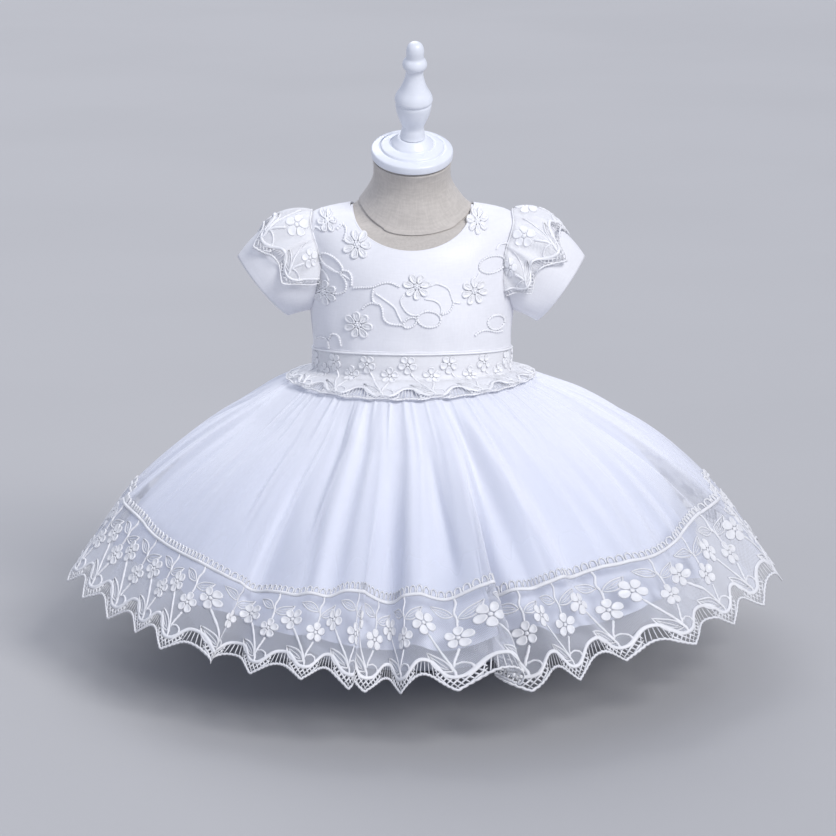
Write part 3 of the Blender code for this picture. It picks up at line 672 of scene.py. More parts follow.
class Stitching:
    """Embroidery charted flat: x along the cloth, y down it and height above it, in millimetres."""

    def __init__(self):
        self.points, self.faces, self.count = [], [], 0

    def add(self, points, faces):
        self.points.append(np.asarray(points, float))
        self.faces.extend([[corner + self.count for corner in face] for face in faces])
        self.count += len(points)

    def thread(self, path, width, height=None, lift=0.0, sides=4, joined=False, knots=0.0):
        """A raised thread along a path. Joined, the path's end points only aim it and its ends meet."""
        path = np.asarray(path, float)
        height = width * 0.7 if height is None else height
        aim = unit(np.gradient(path, axis=0), 1e-9)
        if joined:
            path, aim = path[1:-1], aim[1:-1]
        size = 1.0 + knots * np.sin(2.1 * np.arange(len(path)))
        if not joined:
            size[0] = size[-1] = THREAD_END
        across, up = (SECTIONS[sides][None] * size[:, None, None] * (width / 2, height)).transpose(2, 0, 1)
        flat = path[:, None, :] + listed(-aim[:, 1], aim[:, 0])[:, None, :] * across[..., None]
        points = listed(flat[..., 0], flat[..., 1], up + lift)
        self.add(points.reshape(-1, 3), tube_faces(len(path), sides, joined))

    def mound(self, rings, heights, middle, peak):
        """A closed lobe: rings from its edge inwards at their heights, up or down to a middle point."""
        count = len(rings[0])
        inner = (len(rings) - 1) * count
        faces = quads_of(len(rings), count, True)[:, [0, 3, 2, 1]].tolist()
        faces += [[inner + i, inner + (i + 1) % count, inner + count] for i in range(count)]
        faces.append(list(reversed(range(count))))
        raised = np.append(np.repeat(heights, count), peak)
        self.add(np.column_stack([np.concatenate([*rings, [middle]]), raised]), faces)

    def petal(self, centre, direction, length, width, height, points=12, dish=0.55):
        """A padded lobe with a raised rim, from a flower's centre outwards; direction in degrees."""
        t = 2 * math.pi * np.arange(points) / points
        along = 0.5 - 0.5 * np.cos(t)
        outline = listed(along * length, -np.sin(t) * (0.62 + 0.38 * along) * width / 2)
        middle = np.array([0.56 * length, 0.0])
        aim, side = around(4, direction)[:2]
        laid = [
            (middle + (outline - middle) * scale) @ np.array([aim, side]) + np.asarray(centre, float)
            for scale in (1.0, 0.93, 0.80, 0.60, 0.0)
        ]
        levels = height * np.array([0.05, 0.85, 1.0, 1.0 - dish])
        self.mound(laid[:4], levels, laid[4][0], (1.0 - 0.8 * dish) * height)

    def dot(self, centre, radius, height, points=8):
        rings = [np.asarray(centre, float) + around(points) * radius * scale for scale in (1.0, 0.7, 0.0)]
        self.mound(rings[:2], (0.0, height * 0.8), rings[2][0], height)

    def flower(self, centre, across, petals=5, turn=0.0, height=1.1, lobe=1.0):
        """Petals round a centre; the flower is so many millimetres across."""
        inner = across * 0.085
        for i, aim in enumerate(around(petals, turn)):
            start = np.asarray(centre) + inner * aim
            width = lobe * across * 1.9 / (petals + 0.6)
            self.petal(start, turn + 360.0 * i / petals, across / 2 - inner, width, height)
        self.dot(centre, across * 0.10, height * 1.15)

    def leaf(self, base, tip, width, thread=1.2, bend=0.0):
        """An outlined leaf from base to tip, with an inner line."""
        base, tip = np.asarray(base, float), np.asarray(tip, float)
        aim = tip - base
        side = unit(np.array([-aim[1], aim[0]]))
        t = np.linspace(0.0, 1.0, 9)[:, None]
        bulge = np.sin(math.pi * t**0.85) * width / 2 * side
        spine = base + aim * t + side * bend * np.sin(math.pi * t)
        for broad, scale, wide in ((1.0, 1.0, thread), (0.38, 0.74, thread * 0.55)):
            loop = np.concatenate([spine + bulge * broad, (spine - bulge * broad)[-2:0:-1]])
            loop = spine[4] + (loop - spine[4]) * scale
            self.thread(np.concatenate([loop[-1:], loop, loop[:1]]), wide, joined=True)

    def arrays(self):
        return np.concatenate(self.points), self.faces


def curve(points, per=4):
    """A smooth path through charted points."""
    points = np.asarray(points, float)
    at = np.linspace(0.0, len(points) - 1.0, per * (len(points) - 1) + 1)
    return np.moveaxis(read(np.column_stack([np.arange(len(points)), points]), at), 0, -1)


def wave_of(x):
    """The lace's scalloped cord, in millimetres down: lowest at x = 0 and every repeat after it."""
    turn = 0.5 + 0.5 * np.cos(2 * math.pi * np.asarray(x, float) / REPEAT)
    return CORD_HIGH + (CORD_LOW - CORD_HIGH) * (0.45 * turn + 0.55 * eased(turn))


def edge_of(x):
    """The lace's outer edge: a deep point under each low place of the cord and a shallow bow between."""
    away = np.abs((np.asarray(x, float) + REPEAT / 2) % REPEAT - REPEAT / 2)
    return np.where(away < 14.0, TIP - 0.8 * away, TIP - 14.0 + 2.8 * ((REPEAT / 2 - away) / 8.0) ** 2)


def sewn(name, points, faces, surface):
    """Charted stitches laid on their cloth, with every closed shape facing out."""
    obj = new_piece(name, surface(points), faces)
    mesh = obj.data
    mesh.calc_loop_triangles()
    corners = np.empty(len(mesh.loop_triangles) * 3, np.int32)
    mesh.loop_triangles.foreach_get("vertices", corners)
    places = np.array([vertex.co for vertex in mesh.vertices])
    if np.linalg.det((places - places.mean(axis=0))[corners].reshape(-1, 3, 3)).sum() < 0:
        mesh.flip_normals()
    return obj


# ---------------------------------------------------------------- shader groups and materials
def give(tree, node, inputs):
    """Gives a node's inputs, by name or place, a socket to follow or a value of their own."""
    for label, value in inputs.items():
        if isinstance(value, bpy.types.NodeSocket):
            tree.links.new(value, node.inputs[label])
        elif value is not None:
            node.inputs[label].default_value = value
    return node


def put(tree, kind, inputs, **settings):
    """Adds a shader node with its settings and inputs."""
    node = tree.nodes.new("ShaderNode" + kind)
    for label, value in settings.items():
        setattr(node, label, value)
    return give(tree, node, inputs)


def maths(tree, operation, first, second=None, clamp=False):
    return put(tree, "Math", {0: first, 1: second}, operation=operation, use_clamp=clamp).outputs[0]


def ranged(tree, value, low, high, to_low, to_high, ease="LINEAR"):
    inputs = {"Value": value, "From Min": low, "From Max": high, "To Min": to_low, "To Max": to_high}
    return put(tree, "MapRange", inputs, interpolation_type=ease).outputs["Result"]


def split_by(tree, vector, size):
    """A vector's X, Y and Z, counted in steps of a size."""
    steps = put(tree, "VectorMath", {0: vector, "Scale": size}, operation="SCALE").outputs["Vector"]
    return put(tree, "SeparateXYZ", {0: steps}).outputs


def noise_of(tree, vector, scale, detail=3.0, stretch=None):
    if stretch:
        vector = put(tree, "Mapping", {"Vector": vector, "Scale": stretch}).outputs["Vector"]
    return put(tree, "TexNoise", {"Vector": vector, "Scale": scale, "Detail": detail}).outputs["Fac"]


def mixed(tree, factor, first, second, blend="MIX"):
    inputs = {"Factor": factor, "A": first, "B": second}
    return put(tree, "Mix", inputs, data_type="RGBA", blend_type=blend).outputs["Result"]


def new_group(name, inputs, outputs):
    """A node group with a Vector and further inputs, each with its kind and default, and its outputs."""
    group = bpy.data.node_groups.new(name, "ShaderNodeTree")
    for label, kind, default in (("Vector", "Vector", None), *inputs):
        socket = group.interface.new_socket(label, in_out="INPUT", socket_type="NodeSocket" + kind)
        if default is not None:
            socket.default_value = default
    for label, kind in outputs:
        group.interface.new_socket(label, in_out="OUTPUT", socket_type="NodeSocket" + kind)
    return group, group.nodes.new("NodeGroupInput").outputs, group.nodes.new("NodeGroupOutput")


def weave_group(name):
    """Plain weave: warp over weft, in squares of one thread."""
    outputs = (("Height", "Float"), ("Shade", "Float"))
    group, given, result = new_group(name, (("Thread", "Float", 0.0004),), outputs)
    x, y, z = split_by(group, given["Vector"], maths(group, "DIVIDE", math.pi, given["Thread"]))
    weft = maths(group, "SINE", maths(group, "ADD", y, z))
    over = maths(group, "MULTIPLY", maths(group, "SINE", x), weft)
    give(group, result, {
        "Height": ranged(group, over, -1.0, 1.0, 0.0, 1.0), "Shade": ranged(group, over, -1.0, 1.0, 0.9, 1.0),
    })
    return group


def net_group(name):
    """Fine net: 1 on a thread and 0 in a mesh, with the threads crossing on the bias."""
    inputs = (("Cell", "Float", 0.0012), ("Thread", "Float", 0.16))
    group, given, result = new_group(name, inputs, (("Mask", "Float"),))
    x, y, _ = split_by(group, given["Vector"], maths(group, "DIVIDE", 1.0, given["Cell"]))
    one, other = (maths(group, "PINGPONG", maths(group, way, x, y), 0.5) for way in ("ADD", "SUBTRACT"))
    wide = maths(group, "MULTIPLY", given["Thread"], 1.6)
    nearest = maths(group, "MINIMUM", one, other)
    give(group, result, {"Mask": ranged(group, nearest, given["Thread"], wide, 1.0, 0.0, "SMOOTHSTEP")})
    return group


def tint_group(name):
    """Cloth colour that drifts softly between two tones."""
    inputs = (
        ("Light", "Color", (0.9, 0.9, 0.9, 1.0)), ("Shade", "Color", (0.8, 0.8, 0.85, 1.0)), ("Scale", "Float", 12.0),
    )
    group, given, result = new_group(name, inputs, (("Colour", "Color"), ("Drift", "Float")))
    noise = noise_of(group, given["Vector"], given["Scale"])
    drift = ranged(group, noise, 0.35, 0.65, 0.0, 1.0, "SMOOTHSTEP")
    give(group, result, {"Colour": mixed(group, drift, given["Light"], given["Shade"]), "Drift": drift})
    return group


def twist_group(name):
    """Close satin stitches: fine ridges across a raised thread, with a little unevenness."""
    group, given, result = new_group(name, (("Stitch", "Float", 0.0004),), (("Height", "Float"),))
    per_stitch = maths(group, "DIVIDE", 1.0, given["Stitch"])
    steps = put(group, "VectorMath", {0: given["Vector"], "Scale": per_stitch}, operation="SCALE").outputs["Vector"]
    give(group, result, {"Height": noise_of(group, steps, 0.55, 2.0)})
    return group


GROUPS = {"Plain weave": weave_group, "Fine net": net_group, "Soft tint": tint_group, "Satin stitch": twist_group}


def placed(tree, name, place, **inputs):
    """A shared group placed in a material: its outputs."""
    group = bpy.data.node_groups.get(name) or GROUPS[name](name)
    return put(tree, "Group", {"Vector": place, **inputs}, node_tree=group).outputs


def tone(colour, factor=1.0):
    return (*[min(channel * factor, 1.0) for channel in colour], 1.0)


def tinted(tree, place, colour, shade, scale):
    """The soft tint between a colour and a share of it."""
    return placed(tree, "Soft tint", place, Light=tone(colour), Shade=tone(colour, shade), Scale=scale)


def new_material(name, roughness=0.6, sheen=0.0, specular=0.5, coat=0.0, layout=None):
    """A material with its tree, its shader and the place its patterns are read at.

    Patterns follow the cloth's own flat layout, or else the object's own space.
    """
    material = bpy.data.materials.new(name)
    material.use_nodes = True
    tree = material.node_tree
    shader = give(tree, tree.nodes["Principled BSDF"], {
        "Roughness": roughness, "Specular IOR Level": specular, "Sheen Weight": sheen, "Sheen Roughness": 0.4,
        "Coat Weight": coat,
    })
    if layout:
        return material, tree, shader, put(tree, "UVMap", {}, uv_map=layout).outputs["UV"]
    return material, tree, shader, put(tree, "TexCoord", {}).outputs["Object"]


def bumped(tree, shader, height, distance, strength=1.0, below=None):
    inputs = {"Distance": distance, "Strength": strength, "Height": height, "Normal": below}
    normal = put(tree, "Bump", inputs).outputs["Normal"]
    give(tree, shader, {"Normal": normal})
    return normal


def woven_material(
    name, colour, thread, roughness, sheen, layout=None, shade=0.955, scale=14.0, relief=0.00006, streak=0.02
):
    """Woven cloth: plain weave, soft tone, slubs and an uneven gloss."""
    material, tree, shader, place = new_material(name, roughness, sheen, layout=layout)
    tint = tinted(tree, place, colour, shade, scale)
    weave = placed(tree, "Plain weave", place, Thread=thread)
    shaded = mixed(tree, 0.5, tint["Colour"], weave["Shade"], "MULTIPLY")
    warp, weft = (noise_of(tree, place, 620.0, 2.0, stretch) for stretch in ((1.0, 0.2, 0.2), (0.2, 1.0, 1.0)))
    slub = maths(tree, "MULTIPLY", maths(tree, "ADD", warp, weft), 0.5)
    value = ranged(tree, slub, 0.40, 0.60, 1.0 - streak, 1.0 + 0.5 * streak)
    give(tree, shader, {
        "Base Color": put(tree, "HueSaturation", {"Value": value, "Color": shaded}).outputs["Color"],
        "Roughness": ranged(tree, tint["Drift"], 0.0, 1.0, roughness - 0.05, roughness + 0.06),
    })
    below = bumped(tree, shader, slub, relief * 2.5, 0.6)
    bumped(tree, shader, weave["Height"], relief, 0.8, below)
    return material


def stitched_material(name, colour):
    """Embroidery thread: bright, a little glossy, ridged by its stitches."""
    material, tree, shader, place = new_material(name, 0.5, 0.15)
    tint = tinted(tree, place, colour, 0.95, 90.0)
    give(tree, shader, {"Base Color": tint["Colour"], "Roughness": ranged(tree, tint["Drift"], 0.0, 1.0, 0.45, 0.6)})
    bumped(tree, shader, placed(tree, "Satin stitch", place, Stitch=0.0005)["Height"], 0.00025, 0.7)
    return material


def sheer_material(name, colour, cover, edge_cover, cell, thread, net_share=0.8, gathers=0.0):
    """Sheer net or tulle: see-through face on, whiter seen along its surface or within its gathers (metres long).

    Half of the light that it stops goes on through it.
    """
    material, tree, shader, place = new_material(name, 0.7, 0.1, 0.3, layout="flat")
    tint = tinted(tree, place, colour, 0.96, 25.0)
    net = placed(tree, "Fine net", place, Cell=cell, Thread=thread)["Mask"]
    slanted = maths(tree, "POWER", put(tree, "LayerWeight", {"Blend": 0.5}).outputs["Facing"], 1.6)
    solid = ranged(tree, slanted, 0.0, 1.0, cover, edge_cover)
    threads = ranged(tree, net, 0.0, 1.0, 1.0 - net_share, 1.0 + net_share)
    cloudy = ranged(tree, tint["Drift"], 0.0, 1.0, 0.94, 1.06)
    alpha = maths(tree, "MULTIPLY", maths(tree, "MULTIPLY", solid, threads), cloudy, clamp=True)
    rays = put(tree, "LightPath", {}).outputs["Is Shadow Ray"]
    alpha = maths(tree, "MULTIPLY", alpha, ranged(tree, rays, 0.0, 1.0, 1.0, 0.5))
    if gathers:
        down = put(tree, "SeparateXYZ", {0: place}).outputs["Y"]
        layered = ranged(tree, down, 0.0, gathers, 2.2, 0.75, "SMOOTHSTEP")
        alpha = maths(tree, "MULTIPLY", alpha, layered, clamp=True)
    give(tree, shader, {"Base Color": tint["Colour"], "Alpha": alpha})
    bumped(tree, shader, net, 0.0001, 0.4)
    return material


def painted_material(name, colour):
    """White satin paint on turned wood: faint brush marks, a slightly uneven gloss."""
    material, tree, shader, place = new_material(name, 0.32, 0.0, 0.5, 0.15)
    tint = tinted(tree, place, colour, 0.93, 38.0)
    gloss = ranged(tree, tint["Drift"], 0.0, 1.0, 0.26, 0.42)
    give(tree, shader, {"Coat Roughness": 0.2, "Base Color": tint["Colour"], "Roughness": gloss})
    bumped(tree, shader, noise_of(tree, place, 160.0, 4.0, (1.0, 1.0, 6.0)), 0.00012, 0.6)
    return material


def pearl_material(name, colour):
    """Pearly plastic: a hard gloss over a tone that turns warmer in places."""
    material, tree, shader, place = new_material(name, 0.22, 0.0, 0.6, 0.5)
    tint = placed(tree, "Soft tint", place, Light=tone(colour), Shade=tone((0.84, 0.80, 0.82)), Scale=220.0)
    give(tree, shader, {"Coat Roughness": 0.08, "Base Color": tint["Colour"]})
    bumped(tree, shader, noise_of(tree, place, 500.0, 2.0), 0.00003, 0.5)
    return material


def floor_material(name, colour):
    material, tree, shader, place = new_material(name, 0.75, 0.0, 0.3)
    give(tree, shader, {"Base Color": tinted(tree, place, colour, 0.97, 1.3)["Colour"]})
    bumped(tree, shader, noise_of(tree, place, 90.0), 0.0004, 0.2)
    return material


def finish_with(obj, material, slot, *nodes):
    """Gives a piece its material, puts it under the root and hides the solids of the frame that it stands for."""
    obj.data.materials.clear()
    obj.data.materials.append(material)
    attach(obj, "root")
    if nodes:
        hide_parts(*nodes)
    return obj


def shared_material(name, build, *values, **options):
    return bpy.data.materials.get(name) or build(name, *values, **options)


# ---------------------------------------------------------------- the form
FORM_COLUMNS = 112
CREASE = 0.0005         # how deep the neck's seam is pulled in, and to each side of it
CREASE_HALF = 0.0006


def neck_axis():
    lean, roll = math.radians(NECK_LEAN), math.radians(NECK_ROLL)
    return Matrix.Translation(CAP_CENTRE) @ Matrix.Rotation(lean, 4, "X") @ Matrix.Rotation(roll, 4, "Y")


def ring_of(columns, past=0):
    """Angles evenly round a ring, and so many past the last."""
    return 2 * math.pi * np.arange(columns + past) / columns


def along_seam(angle, height):
    """Heights of the form's rings, bent near the neck so that they run along its seam."""
    rise = read(SEAM_RISE, apart(np.degrees(angle), -90.0))[0]
    return height + rise * bell((height - NECK_SEAM) / 0.0105)


def form_body():
    """The padded body and neck: rings closed at the bottom and under the cap."""
    bands = ((0.1200, 0.1380, 8), (0.1380, 0.3500, 36), (0.3500, 0.3860, 40))
    heights = [np.linspace(low, high, count, endpoint=False) for low, high, count in bands]
    heights = np.concatenate([*heights, np.linspace(0.3860, 0.4200, 20)])[::-1, None]
    angles = ring_of(FORM_COLUMNS)[None, :]
    crease = bell((heights - NECK_SEAM) / CREASE_HALF) * CREASE
    points = on_form(angles, along_seam(angles, heights), -crease)
    top, low = points[0].mean(axis=0), points[-1].mean(axis=0)
    caps = [middle + (ring - middle) * share for middle, ring, share in (
        (top, points[:1], 0.04), (top, points[:1], 0.6), (low, points[-1:], 0.7), (low, points[-1:], 0.04))]
    grid = np.concatenate([*caps[:2], points, *caps[2:]])
    uv = listed(ring_of(FORM_COLUMNS, 1)[None, :] * 0.08, np.linspace(0.42, 0.12, len(grid))[:, None])
    obj = sheet_piece("form_cloth", grid, uv, closed=True)
    return in_edit_mode(obj, ("select_non_manifold", {"extend": False}), ("edge_face_add", {}), select="DESELECT")


def neck_cover():
    """The neck's own cover, sewn to the body along the ring where the neck begins."""
    heights = np.concatenate([np.linspace(0.4195, 0.3860, 26), np.linspace(0.3850, NECK_SEAM + 0.0002, 22)])[:, None]
    angles = ring_of(FORM_COLUMNS)[None, :]
    above = heights - NECK_SEAM
    off = 0.0001 + 0.0003 * kept(above / 0.0010) + 0.00012 * np.sin(angles * 61) * bell(above / 0.0020)
    points = on_form(angles, along_seam(angles, heights), off)
    uv = listed(ring_of(FORM_COLUMNS, 1)[None, :] * 0.04, heights)
    return thicken(sheet_piece("neck_cover", points, uv, closed=True), 0.0007)


# ---------------------------------------------------------------- the bodice
def cutter_for_armholes():
    """One oval bar through both armholes."""
    bpy.ops.object.select_all(action="DESELECT")
    bpy.ops.mesh.primitive_cylinder_add(vertices=96, radius=1.0, depth=0.26, location=(0.0, 0.0, 0.0))
    obj = bpy.context.object
    oval_bar = Matrix.Diagonal((ARMHOLE_HALF_HEIGHT, ARMHOLE_HALF_DEPTH, 1.0, 1.0))
    through_both = Matrix.Rotation(math.pi / 2, 4, "Y")
    obj.data.transform(Matrix.Translation((0.0, 0.0, ARMHOLE_Z)) @ through_both @ oval_bar)
    return obj


def neckline(back, t):
    """The neckline seen square on, from one shoulder (0) to the other (pi)."""
    low, drop = (NECK_BACK_LOW, NECK_BACK_DROP) if back else (NECK_FRONT_LOW, NECK_FRONT_DROP)
    return NECK_HALF_WIDTH * np.cos(t), low + drop * (1.0 - np.sin(t))


def cutter_for_neck(back):
    """A block with a half-oval underside, from the middle out past the front or the back."""
    low = NECK_BACK_LOW if back else NECK_FRONT_LOW
    corners = [(-NECK_HALF_WIDTH, low + 0.060), (NECK_HALF_WIDTH, low + 0.060)]
    outline = np.concatenate([listed(*neckline(back, np.linspace(0.0, math.pi, 65))), corners])
    x, z = outline.T
    points = [listed(x, y, z) for y in ((-0.001, 0.100) if back else (-0.100, 0.001))]
    return in_edit_mode(new_piece("neck_cutter", points, tube_faces(2, len(outline))), FACING_OUT)


def bodice_panel(name, start, end, columns, cutters):
    """A panel of the bodice between two seams, cut by the armholes and the neckline."""
    slit = SEAM / BODY_HALF_DEPTH
    angles = np.linspace(start + slit, end - slit, columns)[None, :]
    shares = np.linspace(0.0, 1.0, 84)[:, None]
    top = 0.3775        # above the neckline, which is cut out afterwards
    heights = top + (waist_top(angles) + SEAM - top) * (1.0 - (1.0 - shares) ** 1.15)
    points = on_form(angles, heights, bodice_ease(angles, heights))
    obj = thicken(sheet_piece(name, points, listed(angles * UV_RADIUS, heights)), CLOTH)
    for tool in cutters:
        with_modifier(obj, "BOOLEAN", operation="DIFFERENCE", solver="EXACT", object=tool)
    take(obj)
    bpy.ops.object.shade_smooth_by_angle(angle=math.radians(40))
    return obj


def back_placket():
    half = PLACKET_WIDTH / 2 / BACK_RADIUS
    angles = np.linspace(math.pi / 2 - half, math.pi / 2 + half, 15)[None, :]
    heights = np.linspace(PLACKET_TOP, WAIST_TOP + 0.0012, 60)[:, None]
    points = on_form(angles, heights, SKIN + CLOTH + 0.0008)
    return thicken(sheet_piece("placket", points, listed(angles * UV_RADIUS, heights)), 0.0009)


def cord_piece(name, path, radius, sides=10, up=(0.0, 0.0, 1.0)):
    """A round cord along a path of points."""
    aim = unit(np.gradient(path, axis=0))
    side = unit(np.cross(aim, up), 1e-9)
    rise = np.cross(side, aim)
    t = ring_of(sides)[None, :, None]
    points = path[:, None] + radius * (np.cos(t) * side[:, None] + np.sin(t) * rise[:, None])
    return in_edit_mode(new_piece(name, points, tube_faces(len(path), sides, turned=True)), FACING_OUT)


def neck_binding(name, back):
    off = SKIN + CLOTH * 0.55
    path = on_form(*find_on_form(*neckline(back, np.linspace(0.03, math.pi - 0.03, 91)), off, back), off)
    return cord_piece(name, path, 0.00105, up=(0.0, 1.0 if back else -1.0, 0.0))


def beaded(stitching, path):
    """A thin cord with small knots along it."""
    path = curve(path, 5)
    stitching.thread(path, 1.5, 1.35)
    lengths = np.append(0.0, np.cumsum(np.linalg.norm(np.diff(path, axis=0), axis=1)))
    for at in np.arange(KNOT_STEP / 2, lengths[-1], KNOT_STEP):
        stitching.dot([np.interp(at, lengths, column) for column in path.T], KNOT_R, 1.5, points=6)


def oval(x, y, half_width, half_height, turn=0.0):
    """A closed path round a centre, turned by some degrees."""
    t = np.linspace(0.0, 2 * math.pi, 13)
    return (x, y) + listed(half_width * np.cos(t), half_height * np.sin(t)) @ around(4, turn)[:2]


def large_flower(stitching, x, y, across, petals, turn):
    """A bodice flower: dished petals with thick rims, each with a middle line, round a ring of beads."""
    centre, ring = np.array([x, y], float), across * 0.10
    for i, out in enumerate(around(petals, turn)):
        start = centre + out * ring
        size = (across / 2 - ring) * (0.95 + 0.06 * math.sin(i * 2.1 + turn))
        width = across * 2.45 / (petals + 1.2)
        stitching.petal(start, turn + 360.0 * i / petals, size, width, 1.7, points=16, dish=0.60)
        stitching.thread([start + out * size * share for share in (0.15, 0.45, 0.76)], 1.0, 0.8, lift=0.7)
    stitching.dot(centre, ring * 1.3, 1.0, points=12)
    for out in around(6, turn):
        stitching.dot(centre + out * ring * 0.8, 1.05, 1.9)
    stitching.dot(centre, 1.4, 2.2, points=10)


def embroidery(flowers, knotted, plain=()):
    """A chart of large flowers (x, y, across, petals, turn), knotted cords and plain ones."""
    chart = Stitching()
    for flower in flowers:
        large_flower(chart, *flower)
    for path in knotted:
        beaded(chart, path)
    for path in plain:
        chart.thread(curve(path, 5), 1.7, 1.2, sides=6)
    return chart.arrays()


def front_embroidery():
    """Flowers and looping cords scattered over the bodice front: x to the wearer's left, y up."""
    return embroidery(
        (
            (4, 321, 23.5, 7, -90), (51, 315, 23.5, 7, -10), (-44, 288, 24.5, 7, -5), (-45, 352, 24.5, 7, 0),
            (-72.5, 311, 23, 7, -25), (54, 368, 19, 7, 15), (-70, 367, 17, 6, 10),
        ),
        (
            ((-48, 318), (-40, 319), (-32, 320), (-25, 323), (-18, 324), (-10, 321)),
            ((-31, 319), (-32, 313), (-31, 308), (-26, 306), (-24, 302), (-23, 295), (-19, 291), (-12, 290), (-6, 290)),
            ((-27, 306), (-32, 307), (-37, 305), (-41, 301)), ((24, 298), (30, 300), (33, 304), (34, 308)),
            ((-57, 331), (-52, 331), (-49, 327), (-49, 319)),
            ((-65, 311), (-59, 312), (-54, 316), (-54, 323), (-58, 328)),
            ((51, 278), (56, 281), (62, 281), (69, 278), (76, 277)), ((-68, 272), (-65, 277), (-60, 276), (-58, 267)),
            ((-79, 269), (-73, 272), (-69, 270), (-68, 264)), ((-62, 362), (-57, 366), (-54, 362), (-56, 355)),
            oval(14, 294.5, 9.5, 6.5, -8), oval(-1.5, 292, 6, 3.6, 30), oval(-65.5, 336, 10.5, 5, -32),
            oval(65.5, 335, 11, 6.8, 4), oval(69.5, 286, 7.5, 6, -20),
        ),
        (
            ((-30, 315), (-25, 312), (-19, 308), (-14, 304), (-11, 298), (-8, 292)),
            ((-6, 315), (-9, 310), (-7, 304), (-2, 299), (4, 298), (9, 301)),
            ((10, 311), (17, 310), (22, 307), (24, 302), (23, 298)),
            ((14, 321), (20, 323), (26, 321), (30, 318), (32, 313), (34, 308), (40, 306)),
            ((-81, 335), (-75, 335), (-69, 333), (-63, 330), (-57, 328), (-49, 324)),
            ((-75, 330), (-71, 327), (-68, 320)), ((-82, 358), (-79, 362), (-74, 360)),
            ((69, 346), (72, 350), (78, 350), (83, 346)),
            ((77, 338), (80, 341), (84, 339)), ((77, 330), (81, 327), (84, 322)), ((55, 330), (53, 326), (51, 322)),
        ),
    )


def back_embroidery():
    """The plainer back: a few of the same flowers, each side of the placket."""
    return embroidery(
        (
            (-38, 338, 21, 6, 10), (36, 326, 22, 7, -8), (-48, 292, 21, 6, 30), (47, 286, 20, 6, 0),
            (62, 349, 18, 6, 15),
        ),
        (
            ((-50, 334), (-58, 329), (-60, 320), (-53, 314), (-45, 317)),
            ((-30, 328), (-24, 321), (-26, 312), (-34, 308), (-41, 303)),
            ((25, 320), (19, 312), (22, 303), (31, 300), (38, 296)), ((47, 331), (55, 334), (61, 339)),
            ((50, 322), (58, 316), (60, 306), (54, 299)), ((-60, 288), (-68, 283), (-70, 275), (-63, 270)),
        ),
    )


# ---------------------------------------------------------------- lace, charted once for every place it is sewn
def edging_chart(ladder=True):
    """One repeat of the lace's edges: a ladder of loops, fan bars and the net of diamonds in each point."""
    chart = Stitching()
    for i in range(7 if ladder else 0):
        x = REPEAT / 7 * (i - 3)
        half_loop = ((-1.9, 0.2), (-2.4, -3.0), (-1.8, -5.6))
        loop = (*half_loop, (0.0, -6.7), *[(-side, y) for side, y in half_loop[::-1]])
        chart.thread([(x + side, y) for side, y in loop], 1.5, 1.2, lift=0.3)
    for i in range(7):
        spread = 2.6 * (i - 3)
        x, end = REPEAT / 2 + spread, REPEAT / 2 + 1.3 * spread
        chart.thread([(x, wave_of(x) + 1.5), (end, edge_of(end) - 0.5)], 1.6, 0.9)
    down = np.linspace(-8.0, 26.0, 171)
    for lean in (1.0, -1.0):
        for i in range(-6, 4):
            x, y = lean * (i * 4.3 + down * 0.64), 62.0 + down * 0.77
            inside = np.flatnonzero((y > wave_of(x) + 0.8) & (y < edge_of(x) - 0.3) & (np.abs(x) < 14.5))
            if len(inside) > 12:
                ends = [inside[0], (inside[0] + inside[-1]) // 2, inside[-1]]
                chart.thread(listed(x[ends], y[ends]), 1.6, 0.9)
    return chart


def spray_chart(whole=True, single=False):
    """One repeat of the lace's sprays: two flowers on stems, a leaf and a curl; whole, two upper leaves as well."""
    chart = Stitching()
    chart.flower((3.0, 36.0), 19.5, 5, -16.0, 0.8 if single else 1.3, 1.30)
    if not single:
        chart.flower((-22.0, 24.0), 20.5, 5, 20.0, 1.3, 1.30)
    lower = (
        (((-19, 32), (-12, 43), (-5, 55), (-1, 64), (0, 69)), 2.1), (((3, 45), (1.5, 50), (-0.5, 56), (-1, 61)), 2.0),
        (((-0.5, 59), (4, 57.5), (8.5, 60), (9, 64.5), (5.5, 66.5)), 1.7),
    )
    upper = ((((3, 1), (4, 6), (2, 13), (3.5, 20), (3, 27)), 2.0),)
    parts = [(lower, (((-2.0, 64.5), (-20.0, 49.5), 9.0, 1.9, -1.0),))]
    if whole:
        parts.append((upper, (((1.0, 16.0), (-16.0, 8.5), 7.5, 1.4, 0.0), ((4.0, 19.5), (21.0, 11.0), 8.0, 1.4, 1.6))))
    for stems, leaves in parts:
        for path, wide in stems:
            chart.thread(curve(path), wide, 1.1, sides=6, knots=0.16)
        for leaf in leaves:
            chart.leaf(*leaf)
    return chart


